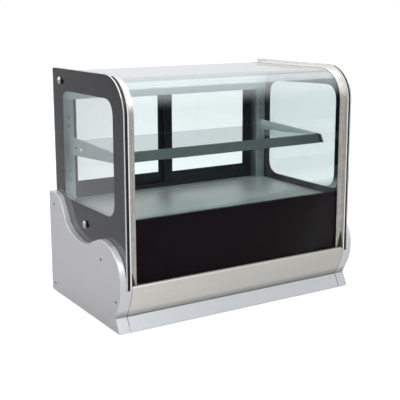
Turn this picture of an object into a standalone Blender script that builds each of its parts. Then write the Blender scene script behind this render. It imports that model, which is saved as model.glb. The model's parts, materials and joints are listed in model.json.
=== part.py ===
"""Counter-top refrigerated display case with a bent front glass.

Metres, +Z up, +X to the right as seen from the front, front towards -Y. The origin is the
centre of the footprint at floor level. Each sub-part is one closed object. The fans, doors,
tray, rockers and buttons have their origin on their own joint.
"""
import math

import bmesh
import bpy
from mathutils import Vector

# ---- driving dimensions -------------------------------------------------------------
WIDTH = 0.900
DEPTH = 0.540
HEIGHT = 0.775
HALF = WIDTH / 2
FRONT = -DEPTH / 2
GAP = 0.0003

# Double-glazed sides: distance of each face from the middle plane.
SIDE_OUT = 0.430
SIDE_IN = 0.412
PANE = 0.0045
UNIT_LOW = 0.139
UNIT_REAR = 0.244
UNIT_CORNER = 0.115
BORDER = 0.0010
SPACER_BAR = 0.014
WINDOW_Y = (-0.198, 0.176)
WINDOW_Z = (0.345, 0.704)
WINDOW_CORNER = 0.055
TOP_KNOB = (0.176, 0.736)
LOW_KNOB = (0.008, 0.286)

# Bent front glass, running up the front and back over the top.
GLASS_FRONT = -0.257
GLASS_TOP = 0.762
GLASS_BEND = 0.102
GLASS_THICK = 0.006
GLASS_LOW = 0.140
GLASS_REAR = 0.256
BAND_TOP = 0.345
BAND_THICK = 0.020
TRIM_INNER = 0.3895
TRIM_THICK = 0.0012
TRIM_LEG = 0.0124
TRIM_REAR = 0.2435

# Base: everything between the side covers is as wide as INNER_HALF allows.
INNER_HALF = 0.4116
COVER_IN = 0.4122
COVER_WALL = 0.003
COVER_REAR = 0.262
COVER_TOP = 0.357
COVER_RIM = 0.003
COVER_SCREWS = ((0.221, 0.314), (-0.138, 0.208), (0.233, 0.031), (-0.236, 0.100))
FLOOR_CLEAR = 0.003
PANEL_TOP = 0.1505
PANEL_LOW = 0.0460
KICK_TOP = 0.0455
SHEET = 0.0016
PAN_LOW = 0.0123
PAN_TOP = 0.0153
DECK_TOP = 0.325
DECK_LOW = 0.297
REAR_FACE = 0.265

# Rear frame, doors and shelf.
POST_INNER = 0.373
POST_FRONT = 0.1935
FASCIA = 0.190
FASCIA_LOW = 0.669
FOLD = 0.003
TRACK_TOP = 0.700
TRACK_FLOOR = 0.3305
RIB = 0.0018
RIB_DEPTH = 0.010
POST_TOP = 0.6897
DOOR_THICK = 0.012
DOOR_LOW = 0.3315
DOOR_HIGH = 0.6985
DOOR_OVERLAP = 0.021
INNER_TRACK = 0.2310
OUTER_TRACK = 0.2490
STILE = 0.032
DOOR_HOLE_Z = (0.375, 0.668)
DOOR_GROOVE = 0.005
GRIP_Z = (0.45, 0.60)
SHELF_HALF = 0.380
SHELF_FRONT = -0.1504
SHELF_REAR = 0.182
SHELF_TOP = 0.5305
SHELF_THICK = 0.006
BRACKET = (0.3905, 0.3935)

# Machine space.
TUB_LOW = 0.2135
TRAY_X = (-0.070, 0.120)
TRAY_HIGH = 0.0405
FIN_SHARE = 0.12
CONDENSER_FAN = (-0.225, 0.150, 0.112)
EVAPORATOR_FAN = (0.205, -0.020, 0.248)
ROCKER_RADIUS = 0.0085
ROCKER_TILT = math.radians(8)
CONTROL_FACE = 0.2625
ROCKER_X = (0.190, 0.215)
ROCKER_Z = 0.2525
KEY_X = (0.318, 0.305, 0.292)
KEY_Z = 0.2370
GLAND = (0.345, 0.085)


# ---- materials ----------------------------------------------------------------------
def material(name, colour, roughness, metallic=0.0, transmission=0.0):
    made = bpy.data.materials.new(name)
    made.use_nodes = True
    shader = made.node_tree.nodes["Principled BSDF"]
    shader.inputs["Base Color"].default_value = (*colour, 1.0)
    shader.inputs["Roughness"].default_value = roughness
    shader.inputs["Metallic"].default_value = metallic
    shader.inputs["Transmission Weight"].default_value = transmission
    made.diffuse_color = (*colour, 1.0 - 0.7 * transmission)
    return made


# ---- outlines -----------------------------------------------------------------------
def arc(centre, radius, start, end, steps):
    """Points from start to end, in degrees, on a circle in the outline's plane."""
    points = []
    for step in range(steps + 1):
        angle = math.radians(start + (end - start) * step / steps)
        points.append((centre[0] + radius * math.cos(angle),
                       centre[1] + radius * math.sin(angle)))
    return points


def rectangle(low, high):
    return [low, (high[0], low[1]), high, (low[0], high[1])]


def rounded(low, high, radius, steps=6):
    """A rectangle with four equal round corners."""
    points = arc((high[0] - radius, low[1] + radius), radius, -90, 0, steps)
    points += arc((high[0] - radius, high[1] - radius), radius, 0, 90, steps)
    points += arc((low[0] + radius, high[1] - radius), radius, 90, 180, steps)
    points += arc((low[0] + radius, low[1] + radius), radius, 180, 270, steps)
    return points


def smooth_curve(points, steps):
    """A Catmull-Rom curve through the points, ends included."""
    padded = [points[0]] + list(points) + [points[-1]]
    curve = []
    for a, b, c, d in zip(padded, padded[1:], padded[2:], padded[3:]):
        for step in range(steps):
            t = step / steps
            curve.append(tuple(
                0.5 * (2 * b[k] + (c[k] - a[k]) * t
                       + (2 * a[k] - 5 * b[k] + 4 * c[k] - d[k]) * t * t
                       + (3 * b[k] - a[k] - 3 * c[k] + d[k]) * t ** 3)
                for k in (0, 1)))
    curve.append(tuple(points[-1]))
    return curve


def offset(points, distance, closed=True):
    """Move an outline sideways: to the right of its direction for a positive distance."""
    moved = []
    count = len(points)
    for index in range(count):
        here = Vector(points[index])
        before = Vector(points[index - 1]) if closed or index else here
        after = Vector(points[(index + 1) % count]) if closed or index < count - 1 else here
        sides = [step.normalized() for step in (here - before, after - here) if step.length > 0]
        normals = [Vector((side.y, -side.x)) for side in sides]
        mean = sum(normals, Vector((0, 0))).normalized()
        moved.append(tuple(here + mean * (distance / mean.dot(normals[0]))))
    return moved


def strip(points, thickness):
    """A closed band of even thickness on the right of an open line."""
    return list(points) + offset(points, thickness, closed=False)[::-1]


# ---- solids -------------------------------------------------------------------------
def add_object(name, mesh, look, origin=(0, 0, 0), smooth=30):
    """Link a mesh as an object whose own origin is at the given point."""
    shift = Vector(origin)
    for vertex in mesh.vertices:
        vertex.co -= shift
    mesh.shade_smooth()
    mesh.set_sharp_from_angle(angle=math.radians(smooth))
    mesh.materials.append(look)
    made = bpy.data.objects.new(name, mesh)
    made.location = shift
    bpy.context.scene.collection.objects.link(made)
    return made


def close_mesh(bm, name):
    bmesh.ops.remove_doubles(bm, verts=bm.verts, dist=1e-6)
    bmesh.ops.recalc_face_normals(bm, faces=bm.faces)
    mesh = bpy.data.meshes.new(name)
    bm.to_mesh(mesh)
    bm.free()
    return mesh


def at_axis(axis, along, pair):
    """World point for an outline point: pair is (y, z), (x, z) or (x, y)."""
    if axis == "X":
        return (along, pair[0], pair[1])
    if axis == "Y":
        return (pair[0], along, pair[1])
    return (pair[0], pair[1], along)


def prism(name, outline, axis, low, high, look, bevel=0.0, segments=2, corner=20, **place):
    """Extrude an outline along an axis. The bevel rounds the rims and edges over corner."""
    bm = bmesh.new()
    base = bm.faces.new([bm.verts.new(at_axis(axis, low, pair)) for pair in outline])
    grown = bmesh.ops.extrude_face_region(bm, geom=[base])
    lift = Vector(at_axis(axis, high - low, (0, 0)))
    for item in grown["geom"]:
        if isinstance(item, bmesh.types.BMVert):
            item.co += lift
    if bevel:
        bmesh.ops.recalc_face_normals(bm, faces=bm.faces)
        sharp = [edge for edge in bm.edges if edge.calc_face_angle(0) > math.radians(corner)]
        bmesh.ops.bevel(bm, geom=sharp, offset=bevel, segments=segments, profile=0.5,
                        affect="EDGES", clamp_overlap=True)
    return add_object(name, close_mesh(bm, name), look, **place)


def block(name, low, high, look, **options):
    return prism(name, rectangle(low[:2], high[:2]), "Z", low[2], high[2], look, **options)


def turned(name, profile, axis, centre, look, steps=24, **place):
    """Turn a profile of (distance along the axis, radius) pairs, from one end to the other."""
    bm = bmesh.new()
    rings = []
    flat = {"X": (1, 2), "Y": (0, 2), "Z": (0, 1)}[axis]
    line = "XYZ".index(axis)
    for along, radius in profile:
        ring = []
        for step in range(steps if radius > 0 else 1):
            angle = 2 * math.pi * step / steps
            point = list(centre)
            point[line] += along
            point[flat[0]] += radius * math.cos(angle)
            point[flat[1]] += radius * math.sin(angle)
            ring.append(bm.verts.new(point))
        rings.append(ring)
    for first, second in zip(rings, rings[1:]):
        for step in range(steps):
            corners = [first[step % len(first)], first[(step + 1) % len(first)],
                       second[(step + 1) % len(second)], second[step % len(second)]]
            bm.faces.new(list(dict.fromkeys(corners)))
    for ring in (rings[0], rings[-1]):
        if len(ring) > 1:
            bm.faces.new(ring)
    return add_object(name, close_mesh(bm, name), look, **place)


def merge(name, parts, look, **place):
    """Several shells that do not touch, as one cutter or tool mesh."""
    bm = bmesh.new()
    for part in parts:
        bm.from_mesh(part.data)
        bpy.data.objects.remove(part)
    return add_object(name, close_mesh(bm, name), look, **place)


def shape_with(target, tool, operation):
    """Cut or join with a helper object, which stays hidden."""
    tool.hide_render = True
    tool.display_type = "WIRE"
    change = target.modifiers.new(tool.name, "BOOLEAN")
    change.operation = operation
    change.solver = "EXACT"
    change.object = tool


def cut(target, tool):
    shape_with(target, tool, "DIFFERENCE")


def unite(target, tool):
    shape_with(target, tool, "UNION")


def helper(kind, label, *details, **options):
    """A hidden tool of the given kind (block, prism or turned)."""
    return kind("tool_" + label, *details, LOOK["tool"], **options)


def mirrored(side, near, far):
    """A low and high X for a piece on the left (-1) or right (1)."""
    return tuple(sorted((side * near, side * far)))


SIDES = (("left", -1), ("right", 1))


# ---- glazed sides -------------------------------------------------------------------
def unit_outline(inset=0.0):
    """Side unit: square but for the large front top corner. Pairs are (y, z)."""
    low, high = UNIT_LOW + inset, HEIGHT - inset
    front, rear = FRONT + inset, UNIT_REAR - inset
    corner = UNIT_CORNER - inset
    points = [(front, low), (rear, low)]
    points += arc((rear - 0.006, high - 0.006), 0.006, 0, 90, 2)
    points += arc((front + corner, high - corner), corner, 90, 180, 12)
    return points


def window_outline():
    return rounded((WINDOW_Y[0], WINDOW_Z[0]), (WINDOW_Y[1], WINDOW_Z[1]), WINDOW_CORNER)


def make_side_unit(label, side):
    outer_in = SIDE_OUT - PANE
    inner_out = SIDE_IN + PANE
    prism("side_pane_outer_" + label, unit_outline(), "X",
          *mirrored(side, outer_in, SIDE_OUT), LOOK["glass"])
    prism("side_pane_inner_" + label, unit_outline(), "X",
          *mirrored(side, SIDE_IN, inner_out), LOOK["glass"])
    near, far = inner_out + GAP, outer_in - GAP
    spacer = prism("side_spacer_" + label, unit_outline(0.0008), "X",
                   *mirrored(side, near, far), LOOK["black_print"])
    cut(spacer, helper(prism, "pocket_" + label, unit_outline(SPACER_BAR), "X",
                       *mirrored(side, near - 0.002, far - BORDER)))
    cut(spacer, helper(prism, "window_" + label, window_outline(), "X",
                       *mirrored(side, near - 0.004, far + 0.002)))


def make_knob(name, side, y, z):
    """Domed cap on a short collar, standing on the outer pane."""
    profile = [(0, 0), (0, 0.0085), (0.0022, 0.0085), (0.0022, 0.0125), (0.0048, 0.0125)]
    profile += [(0.0048 + 0.0042 * math.sin(a), 0.0125 * math.cos(a))
                for a in (math.radians(25), math.radians(50), math.radians(72))]
    profile.append((0.0090, 0))
    turned(name, [(side * along, radius) for along, radius in profile], "X",
           (side * (SIDE_OUT + GAP), y, z), LOOK["chrome"], smooth=40)


# ---- bent front glass, trims, band --------------------------------------------------
def glass_line(drop=0.0, low=GLASS_LOW, rear=GLASS_REAR, steps=10):
    """Outer line of the bent glass from its foot to its rear edge, moved outwards by drop."""
    bend = GLASS_BEND + drop
    centre = (GLASS_FRONT + GLASS_BEND, GLASS_TOP - GLASS_BEND)
    return [(GLASS_FRONT - drop, low)] + arc(centre, bend, 180, 90, steps) + [
        (rear, GLASS_TOP + drop)]


def make_front_glass():
    prism("front_glass", strip(glass_line(), GLASS_THICK), "X",
          -INNER_HALF + GAP, INNER_HALF - GAP, LOOK["glass"])
    back = GLASS_FRONT + GLASS_THICK + GAP
    block("front_band", (-INNER_HALF + 0.001, back, GLASS_LOW),
          (INNER_HALF - 0.001, back + BAND_THICK, BAND_TOP), LOOK["black_print"], bevel=0.0015,
          segments=1)


def make_trim(label, side):
    """Angle strip: one leg lies on the bent glass, the other stands against the side unit."""
    edge = INNER_HALF - GAP
    near, far = GAP, GAP + TRIM_THICK
    profile = [(TRIM_INNER, near), (edge, near), (edge, TRIM_LEG), (edge - TRIM_THICK, TRIM_LEG),
               (edge - TRIM_THICK, far), (TRIM_INNER, far)]
    bm = bmesh.new()
    lines = []
    for x, drop in profile:
        places = glass_line(drop, low=PANEL_TOP + 2 * GAP, rear=TRIM_REAR)
        lines.append([bm.verts.new((side * x, *place)) for place in places])
    for first, second in zip(lines, lines[1:] + lines[:1]):
        for index in range(len(first) - 1):
            bm.faces.new((first[index], first[index + 1], second[index + 1], second[index]))
    for end in (0, -1):
        bm.faces.new([line[end] for line in lines])
    add_object("front_trim_" + label, close_mesh(bm, "front_trim"), LOOK["stainless"])


# ---- base ---------------------------------------------------------------------------
def nose_curve():
    """Front of the base from the crest of the cover down to the panel's foot."""
    return [(-0.190, 0.265), (-0.236, 0.239), (-0.262, 0.205), (FRONT, 0.155),
            (-0.262, 0.106), (-0.231, PANEL_LOW)]


def cover_outline():
    """Side cover: wave top, bulged nose, flared foot. Pairs are (y, z), front to rear last."""
    wave = [(0.204, COVER_TOP), (0.180, 0.346), (0.158, 0.319), (0.129, 0.275),
            (0.105, 0.254), (0.058, 0.237), (0.009, 0.229), (-0.045, 0.236), (-0.087, 0.255),
            (-0.138, 0.271)]
    points = smooth_curve(wave + nose_curve(), 3)
    points += [(-0.234, KICK_TOP), (-0.256, FLOOR_CLEAR), (COVER_REAR, FLOOR_CLEAR)]
    points += arc((COVER_REAR - 0.012, COVER_TOP - 0.012), 0.012, 0, 90, 3)
    return points


def make_side_cover(label, side):
    outline = cover_outline()
    inner = HALF - COVER_WALL
    cover = prism("side_cover_" + label, outline, "X", *mirrored(side, COVER_IN, HALF),
                  LOOK["silver"])
    cover.modifiers.new("rim", "BEVEL")
    cover.modifiers["rim"].width = COVER_RIM
    cover.modifiers["rim"].segments = 2
    cover.modifiers["rim"].limit_method = "VGROUP"
    rim = cover.vertex_groups.new(name="rim")
    rim.add([v.index for v in cover.data.vertices if abs(v.co.x) > HALF - 1e-4], 1.0, "REPLACE")
    cover.modifiers["rim"].vertex_group = "rim"
    turn = 1 if signed_area(outline) < 0 else -1
    cut(cover, helper(prism, "hollow_" + label, offset(outline, turn * COVER_WALL), "X",
                      *mirrored(side, COVER_IN - 0.01, inner)))
    cut(cover, helper(block, "unit_space_" + label,
                      (min(side * (COVER_IN - 0.01), side * (SIDE_OUT + GAP)), FRONT - 0.01,
                       UNIT_LOW - GAP),
                      (max(side * (COVER_IN - 0.01), side * (SIDE_OUT + GAP)), 0.30, 0.40)))
    for index, (y, z) in enumerate(COVER_SCREWS, 1):
        bore = [(-0.006, 0.0026), (-0.0016, 0.0026), (-0.0016, 0.0056), (0.002, 0.0056)]
        cut(cover, helper(turned, "bore_%s_%d" % (label, index),
                          [(side * a, r) for a, r in bore], "X", (side * HALF, y, z), steps=12))
        screw = [(-0.012, 0), (-0.012, 0.0022), (-0.0013, 0.0022), (-0.0013, 0.0050),
                 (-0.0006, 0.0046), (-0.0002, 0.0030), (-0.0002, 0)]
        turned("cover_screw_%s_%d" % (label, index), [(side * a, r) for a, r in screw], "X",
               (side * HALF, y, z), LOOK["dark_steel"], steps=12)


def signed_area(points):
    return 0.5 * sum(a[0] * b[1] - b[0] * a[1] for a, b in zip(points, points[1:] + points[:1]))


def make_front_sheets():
    curve = [pair for pair in smooth_curve(nose_curve(), 5) if pair[1] < PANEL_TOP - 0.004]
    top = [(-0.2590, PANEL_TOP), (-0.2655, PANEL_TOP), (-0.2690, PANEL_TOP - 0.0022)]
    panel = top + curve + [(-0.2200, PANEL_LOW)]
    prism("front_panel", strip(panel, -SHEET), "X", -INNER_HALF, INNER_HALF, LOOK["stainless"])
    kick = [(-0.2200, KICK_TOP), (-0.2340, KICK_TOP), (-0.2560, FLOOR_CLEAR)]
    prism("kick_plate", strip(kick, -SHEET), "X", -INNER_HALF, INNER_HALF, LOOK["pale_metal"])


def make_base():
    half = INNER_HALF - 0.002
    pan = block("base_pan", (-half, -0.226, PAN_LOW), (half, 0.262, PAN_TOP + 0.018),
                LOOK["galvanised"])
    cut(pan, helper(block, "pan_inside", (-half + 0.0015, -0.2245, PAN_TOP),
                    (half - 0.0015, 0.30, 0.08)))
    for row, y in (("front", -0.195), ("rear", 0.215)):
        for label, side in SIDES:
            profile = [(0, 0), (0, 0.016), (0.003, 0.0175), (0.0120, 0.0150), (0.0120, 0)]
            turned("foot_%s_%s" % (row, label), profile, "Z", (side * 0.365, y, 0),
                   LOOK["rubber"], steps=16)
    deck = block("deck_plate", (-INNER_HALF, -0.2295, DECK_LOW),
                 (INNER_HALF, REAR_FACE, DECK_TOP), LOOK["stainless"], bevel=0.002, segments=1)
    cut(deck, helper(block, "deck_hollow", (-INNER_HALF + 0.002, -0.2275, DECK_LOW - 0.01),
                     (INNER_HALF - 0.002, REAR_FACE - 0.002, DECK_TOP - 0.002)))
    slots = []
    for row_y in (-0.205, 0.172):
        for column in range(9):
            x = (column - 4) * 0.082
            slots.append(helper(prism, "slot", rounded((x - 0.033, row_y - 0.003),
                                                       (x + 0.033, row_y + 0.003), 0.0029, 2),
                                "Z", DECK_TOP - 0.01, DECK_TOP + 0.01))
    cut(deck, merge("tool_deck_slots", slots, LOOK["tool"]))


# ---- rear frame and doors -----------------------------------------------------------
def make_rear_frame():
    for label, side in SIDES:
        low, high = mirrored(side, POST_INNER, INNER_HALF)
        post = block("rear_post_" + label, (low, POST_FRONT, DECK_TOP + GAP),
                     (high, REAR_FACE - 0.0005, POST_TOP), LOOK["grey_metal"], bevel=0.0015,
                     segments=1)
        middle = side * sum(BRACKET) / 2
        slots = [helper(block, "post_slot", (middle - 0.0025, POST_FRONT - 0.005, z - 0.007),
                        (middle + 0.0025, POST_FRONT + 0.010, z + 0.007))
                 for z in (0.40, 0.43, 0.46, 0.49, 0.52, 0.55, 0.58, 0.61)]
        cut(post, merge("tool_slots_" + label, slots, LOOK["tool"]))
    back = track_ribs()[-1] + RIB
    high = GLASS_TOP - GLASS_THICK - GAP
    rail = [(FASCIA, FASCIA_LOW), (FASCIA + FOLD, FASCIA_LOW), (FASCIA + FOLD, TRACK_TOP)]
    rail += rib_line(TRACK_TOP, -RIB_DEPTH)[:-1]
    rail += [(back, high), (back - FOLD, high), (back - FOLD, TRACK_TOP + FOLD),
             (FASCIA + FOLD, TRACK_TOP + FOLD), (FASCIA + FOLD, high), (FASCIA, high)]
    prism("header_rail", rail, "X", -INNER_HALF + GAP, INNER_HALF - GAP, LOOK["grey_metal"])
    lens = [(FASCIA - GAP, 0.6985)] + arc((FASCIA - 0.0045, 0.7045), 0.006, 250, 110, 6)
    lens.append((FASCIA - GAP, 0.7105))
    prism("lamp_lens", lens, "X", -0.360, 0.360, LOOK["lens"])
    sill = [(track_ribs()[0], DECK_TOP + GAP)] + rib_line(TRACK_FLOOR, RIB_DEPTH)[1:-1]
    sill.append((back, DECK_TOP + GAP))
    prism("rear_sill", sill, "X", -POST_INNER + GAP, POST_INNER - GAP, LOOK["dark_metal"])


def track_ribs():
    """Front face of the three ribs that make the two door tracks."""
    return (INNER_TRACK - RIB - 0.0010, INNER_TRACK + DOOR_THICK + 0.0021,
            OUTER_TRACK + DOOR_THICK + 0.0010)


def rib_line(base, reach):
    """Outline that follows the door tracks at height base and goes round each rib."""
    line = []
    for rib in track_ribs():
        line += [(rib, base), (rib, base + reach), (rib + RIB, base + reach), (rib + RIB, base)]
    return line


def make_door(label, side):
    """Framed pane. The right door runs in the inner track, the left one in the outer."""
    near = INNER_TRACK if side > 0 else OUTER_TRACK
    hole_low, hole_high = DOOR_HOLE_Z
    low, high = mirrored(side, -DOOR_OVERLAP / 2, POST_INNER - GAP)
    middle = ((low + high) / 2, near + DOOR_THICK / 2, (DOOR_LOW + DOOR_HIGH) / 2)
    frame = block("door_frame_" + label, (low, near, DOOR_LOW),
                  (high, near + DOOR_THICK, DOOR_HIGH), LOOK["dark_metal"], bevel=0.0008,
                  segments=1, origin=middle)
    cut(frame, helper(block, "door_hole_" + label,
                      (low + STILE, near - 0.01, hole_low),
                      (high - STILE, near + 0.03, hole_high)))
    cut(frame, helper(block, "door_groove_" + label,
                      (low + STILE - DOOR_GROOVE, near + 0.0035, hole_low - DOOR_GROOVE),
                      (high - STILE + DOOR_GROOVE, near + 0.0085, hole_high + DOOR_GROOVE)))
    grip_x = low + 0.009 if side < 0 else high - 0.009
    grip = helper(block, "door_grip_" + label,
                  (grip_x - 0.0055, near + DOOR_THICK - 0.002, GRIP_Z[0]),
                  (grip_x + 0.0055, near + DOOR_THICK + 0.0055, GRIP_Z[1]), bevel=0.001, segments=1)
    unite(frame, grip)
    inset = STILE - DOOR_GROOVE + GAP
    block("door_glass_" + label, (low + inset, near + 0.0040, hole_low - DOOR_GROOVE + GAP),
          (high - inset, near + 0.0080, hole_high + DOOR_GROOVE - GAP), LOOK["glass"],
          origin=middle)


# ---- shelf --------------------------------------------------------------------------
def make_shelf():
    under = SHELF_TOP - SHELF_THICK
    block("shelf_glass", (-SHELF_HALF, SHELF_FRONT, under), (SHELF_HALF, SHELF_REAR, SHELF_TOP),
          LOOK["glass"], bevel=0.001, segments=1)
    rail = [(-0.1545, 0.5340), (-0.1685, 0.5060), (-0.1650, 0.5050), (-0.1545, 0.5205),
            (-0.1400, 0.5205), (-0.1400, under - 0.0007), (-0.1507, under - 0.0007),
            (-0.1507, SHELF_TOP + 0.0007), (-0.1400, SHELF_TOP + 0.0007), (-0.1400, 0.5340)]
    prism("shelf_front_rail", rail, "X", -SHELF_HALF, SHELF_HALF, LOOK["dark_plastic"])
    for label, side in SIDES:
        plate = [(-0.176, 0.506), (POST_FRONT - 0.0005, 0.484), (POST_FRONT - 0.0005, 0.549),
                 (-0.160, 0.534)]
        bracket = prism("shelf_bracket_" + label, plate, "X", *mirrored(side, *BRACKET),
                        LOOK["stainless"])
        hooks = [helper(block, "hook", (min(side * BRACKET[0], side * BRACKET[1]),
                                        POST_FRONT - 0.003, z - 0.005),
                        (max(side * BRACKET[0], side * BRACKET[1]), POST_FRONT + 0.005,
                         z + 0.005)) for z in (0.49, 0.52)]
        unite(bracket, merge("tool_hooks_" + label, hooks, LOOK["tool"]))
        low, high = mirrored(side, 0.362, BRACKET[0] + 0.001)
        unite(bracket, helper(block, "ledge_" + label, (low, -0.1350, under - 0.0033),
                              (high, SHELF_REAR - 0.004, under - 0.0005)))


# ---- machine space ------------------------------------------------------------------
def make_rear_panel():
    low, high = REAR_FACE - 0.0075, REAR_FACE - 0.0055
    panel = block("rear_panel", (-INNER_HALF + 0.004, low, PAN_TOP + GAP),
                  (INNER_HALF - 0.004, high, DECK_LOW - GAP), LOOK["galvanised"])
    cut(panel, helper(block, "tray_mouth", (TRAY_X[0] - 0.002, 0.2, 0.0),
                      (TRAY_X[1] + 0.002, 0.3, TRAY_HIGH + 0.002)))
    slots = []
    for group in (-0.235, 0.0):
        for row in range(9):
            z = 0.075 + row * 0.016
            slots.append(helper(prism, "louvre", rounded((group - 0.080, z - 0.0035),
                                                         (group + 0.080, z + 0.0035), 0.0034, 2),
                                "Y", low - 0.01, high + 0.01))
    cut(panel, merge("tool_louvres", slots, LOOK["tool"]))
    cut(panel, helper(block, "control_hole", (0.1715, 0.2, 0.2285), (0.3285, 0.3, 0.2765)))
    cut(panel, helper(turned, "gland_hole", [(-0.02, 0.0105), (0.02, 0.0105)], "Y",
                      (GLAND[0], high, GLAND[1]), steps=16))
    profile = [(-0.014, 0), (-0.014, 0.0100), (0.0014, 0.0100), (0.0014, 0.0150),
               (0.0040, 0.0150), (0.0115, 0.0100), (0.0115, 0.0048), (-0.004, 0.0048),
               (-0.004, 0)]
    turned("cord_gland", profile, "Y", (GLAND[0], high - 0.0010, GLAND[1]), LOOK["dark_plastic"],
           steps=20)


def make_controls():
    panel_face = REAR_FACE - 0.0055 + GAP
    body = block("control_panel", (0.165, panel_face, 0.222), (0.335, CONTROL_FACE, 0.283),
                 LOOK["dark_plastic"], bevel=0.0012, segments=1)
    unite(body, helper(block, "control_box", (0.1722, 0.2360, 0.2292),
                       (0.3278, panel_face + 0.001, 0.2758)))
    for label, x in zip(("lamp_switch", "power_switch"), ROCKER_X):
        axis_y = CONTROL_FACE - 0.0010
        cut(body, helper(block, label + "_well", (x - 0.0065, axis_y - 0.0098, ROCKER_Z - 0.0095),
                         (x + 0.0065, 0.28, ROCKER_Z + 0.0095)))
        make_rocker(label, x, axis_y, ROCKER_Z)
    for label, x in zip(("set_button", "up_button", "down_button"), KEY_X):
        cut(body, helper(block, label + "_well", (x - 0.0048, CONTROL_FACE - 0.006, KEY_Z - 0.0032),
                         (x + 0.0048, 0.28, KEY_Z + 0.0032)))
        block(label, (x - 0.0043, CONTROL_FACE - 0.0042, KEY_Z - 0.0027),
              (x + 0.0043, CONTROL_FACE + 0.0014, KEY_Z + 0.0027), LOOK["grey_plastic"],
              bevel=0.0006, segments=1, origin=(x, CONTROL_FACE, KEY_Z))


def make_rocker(name, x, axis_y, z):
    """Half-round body with a shallow V face, tipped to one side of its travel."""
    turned_points = []
    rim = ROCKER_RADIUS
    shape = arc((0, 0), rim, 180, 360, 10)
    shape += [(rim, 0.0018), (0, 0.0018 + 0.0012), (-rim, 0.0018)]
    for across, out in shape:
        tilt = ROCKER_TILT
        turned_points.append((axis_y + out * math.cos(tilt) - across * math.sin(tilt),
                              z + across * math.cos(tilt) + out * math.sin(tilt)))
    prism(name, turned_points, "X", x - 0.0060, x + 0.0060, LOOK["gloss_black"],
          origin=(x, axis_y, z))


def fan(name, centre, axis, radius, hub, depth, motor_side, look, blades=5):
    """Hub with a blind bore towards the motor side, and pitched blades around it."""
    profile = [(-depth / 2, 0), (-depth / 2, hub * 0.8), (-depth / 2 + 0.003, hub),
               (depth / 2, hub), (depth / 2, 0.0033), (-depth / 2 + 0.006, 0.0033),
               (-depth / 2 + 0.006, 0)]
    rotor = turned(name, [(motor_side * along, reach) for along, reach in profile], axis,
                   centre, look, steps=20, origin=centre)
    vanes = []
    for index in range(blades):
        turn = 2 * math.pi * index / blades
        bm = bmesh.new()
        rings = []
        for reach, half_chord, pitch in ((hub - 0.003, 0.30, 38), (radius, 0.36, 24)):
            ring = []
            for end, thick in ((-1, -1), (1, -1), (1, 1), (-1, 1)):
                chord = end * half_chord * min(radius * 0.55, 0.045)
                lean = math.radians(pitch)
                along = chord * math.sin(lean) + thick * 0.0007 * math.cos(lean)
                across = chord * math.cos(lean) - thick * 0.0007 * math.sin(lean)
                angle = turn + across / reach if reach > hub else turn + across / hub
                ring.append((reach * math.cos(angle), reach * math.sin(angle), along))
            rings.append(ring)
        corners = [[bm.verts.new(blade_point(axis, centre, point)) for point in ring]
                   for ring in rings]
        for a, b in ((0, 1), (1, 2), (2, 3), (3, 0)):
            bm.faces.new([corners[0][a], corners[0][b], corners[1][b], corners[1][a]])
        bm.faces.new(corners[0])
        bm.faces.new(corners[1][::-1])
        bmesh.ops.triangulate(bm, faces=bm.faces)
        vanes.append(add_object("vane", close_mesh(bm, "vane"), look))
    unite(rotor, merge("tool_vanes_" + name, vanes, look))


def blade_point(axis, centre, point):
    across, up, along = point
    if axis == "Y":
        return (centre[0] + across, centre[1] + along, centre[2] + up)
    return (centre[0] + across, centre[1] + up, centre[2] + along)


def finned_block(name, low, high, fins, look):
    """Heat exchanger: a back slab with upright fins, all in one piece."""
    body = block(name, low, high, look)
    pitch = (high[0] - low[0]) / fins
    gaps = []
    for index in range(fins):
        left = low[0] + pitch * (index + FIN_SHARE)
        right = low[0] + pitch * (index + 1 - FIN_SHARE)
        gaps.append(helper(block, "fin_gap", (left, low[1] - 0.01, low[2] + 0.006),
                           (right, high[1] - 0.012, high[2] - 0.006)))
    cut(body, merge("tool_fins_" + name, gaps, LOOK["tool"]))
    return body


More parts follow.
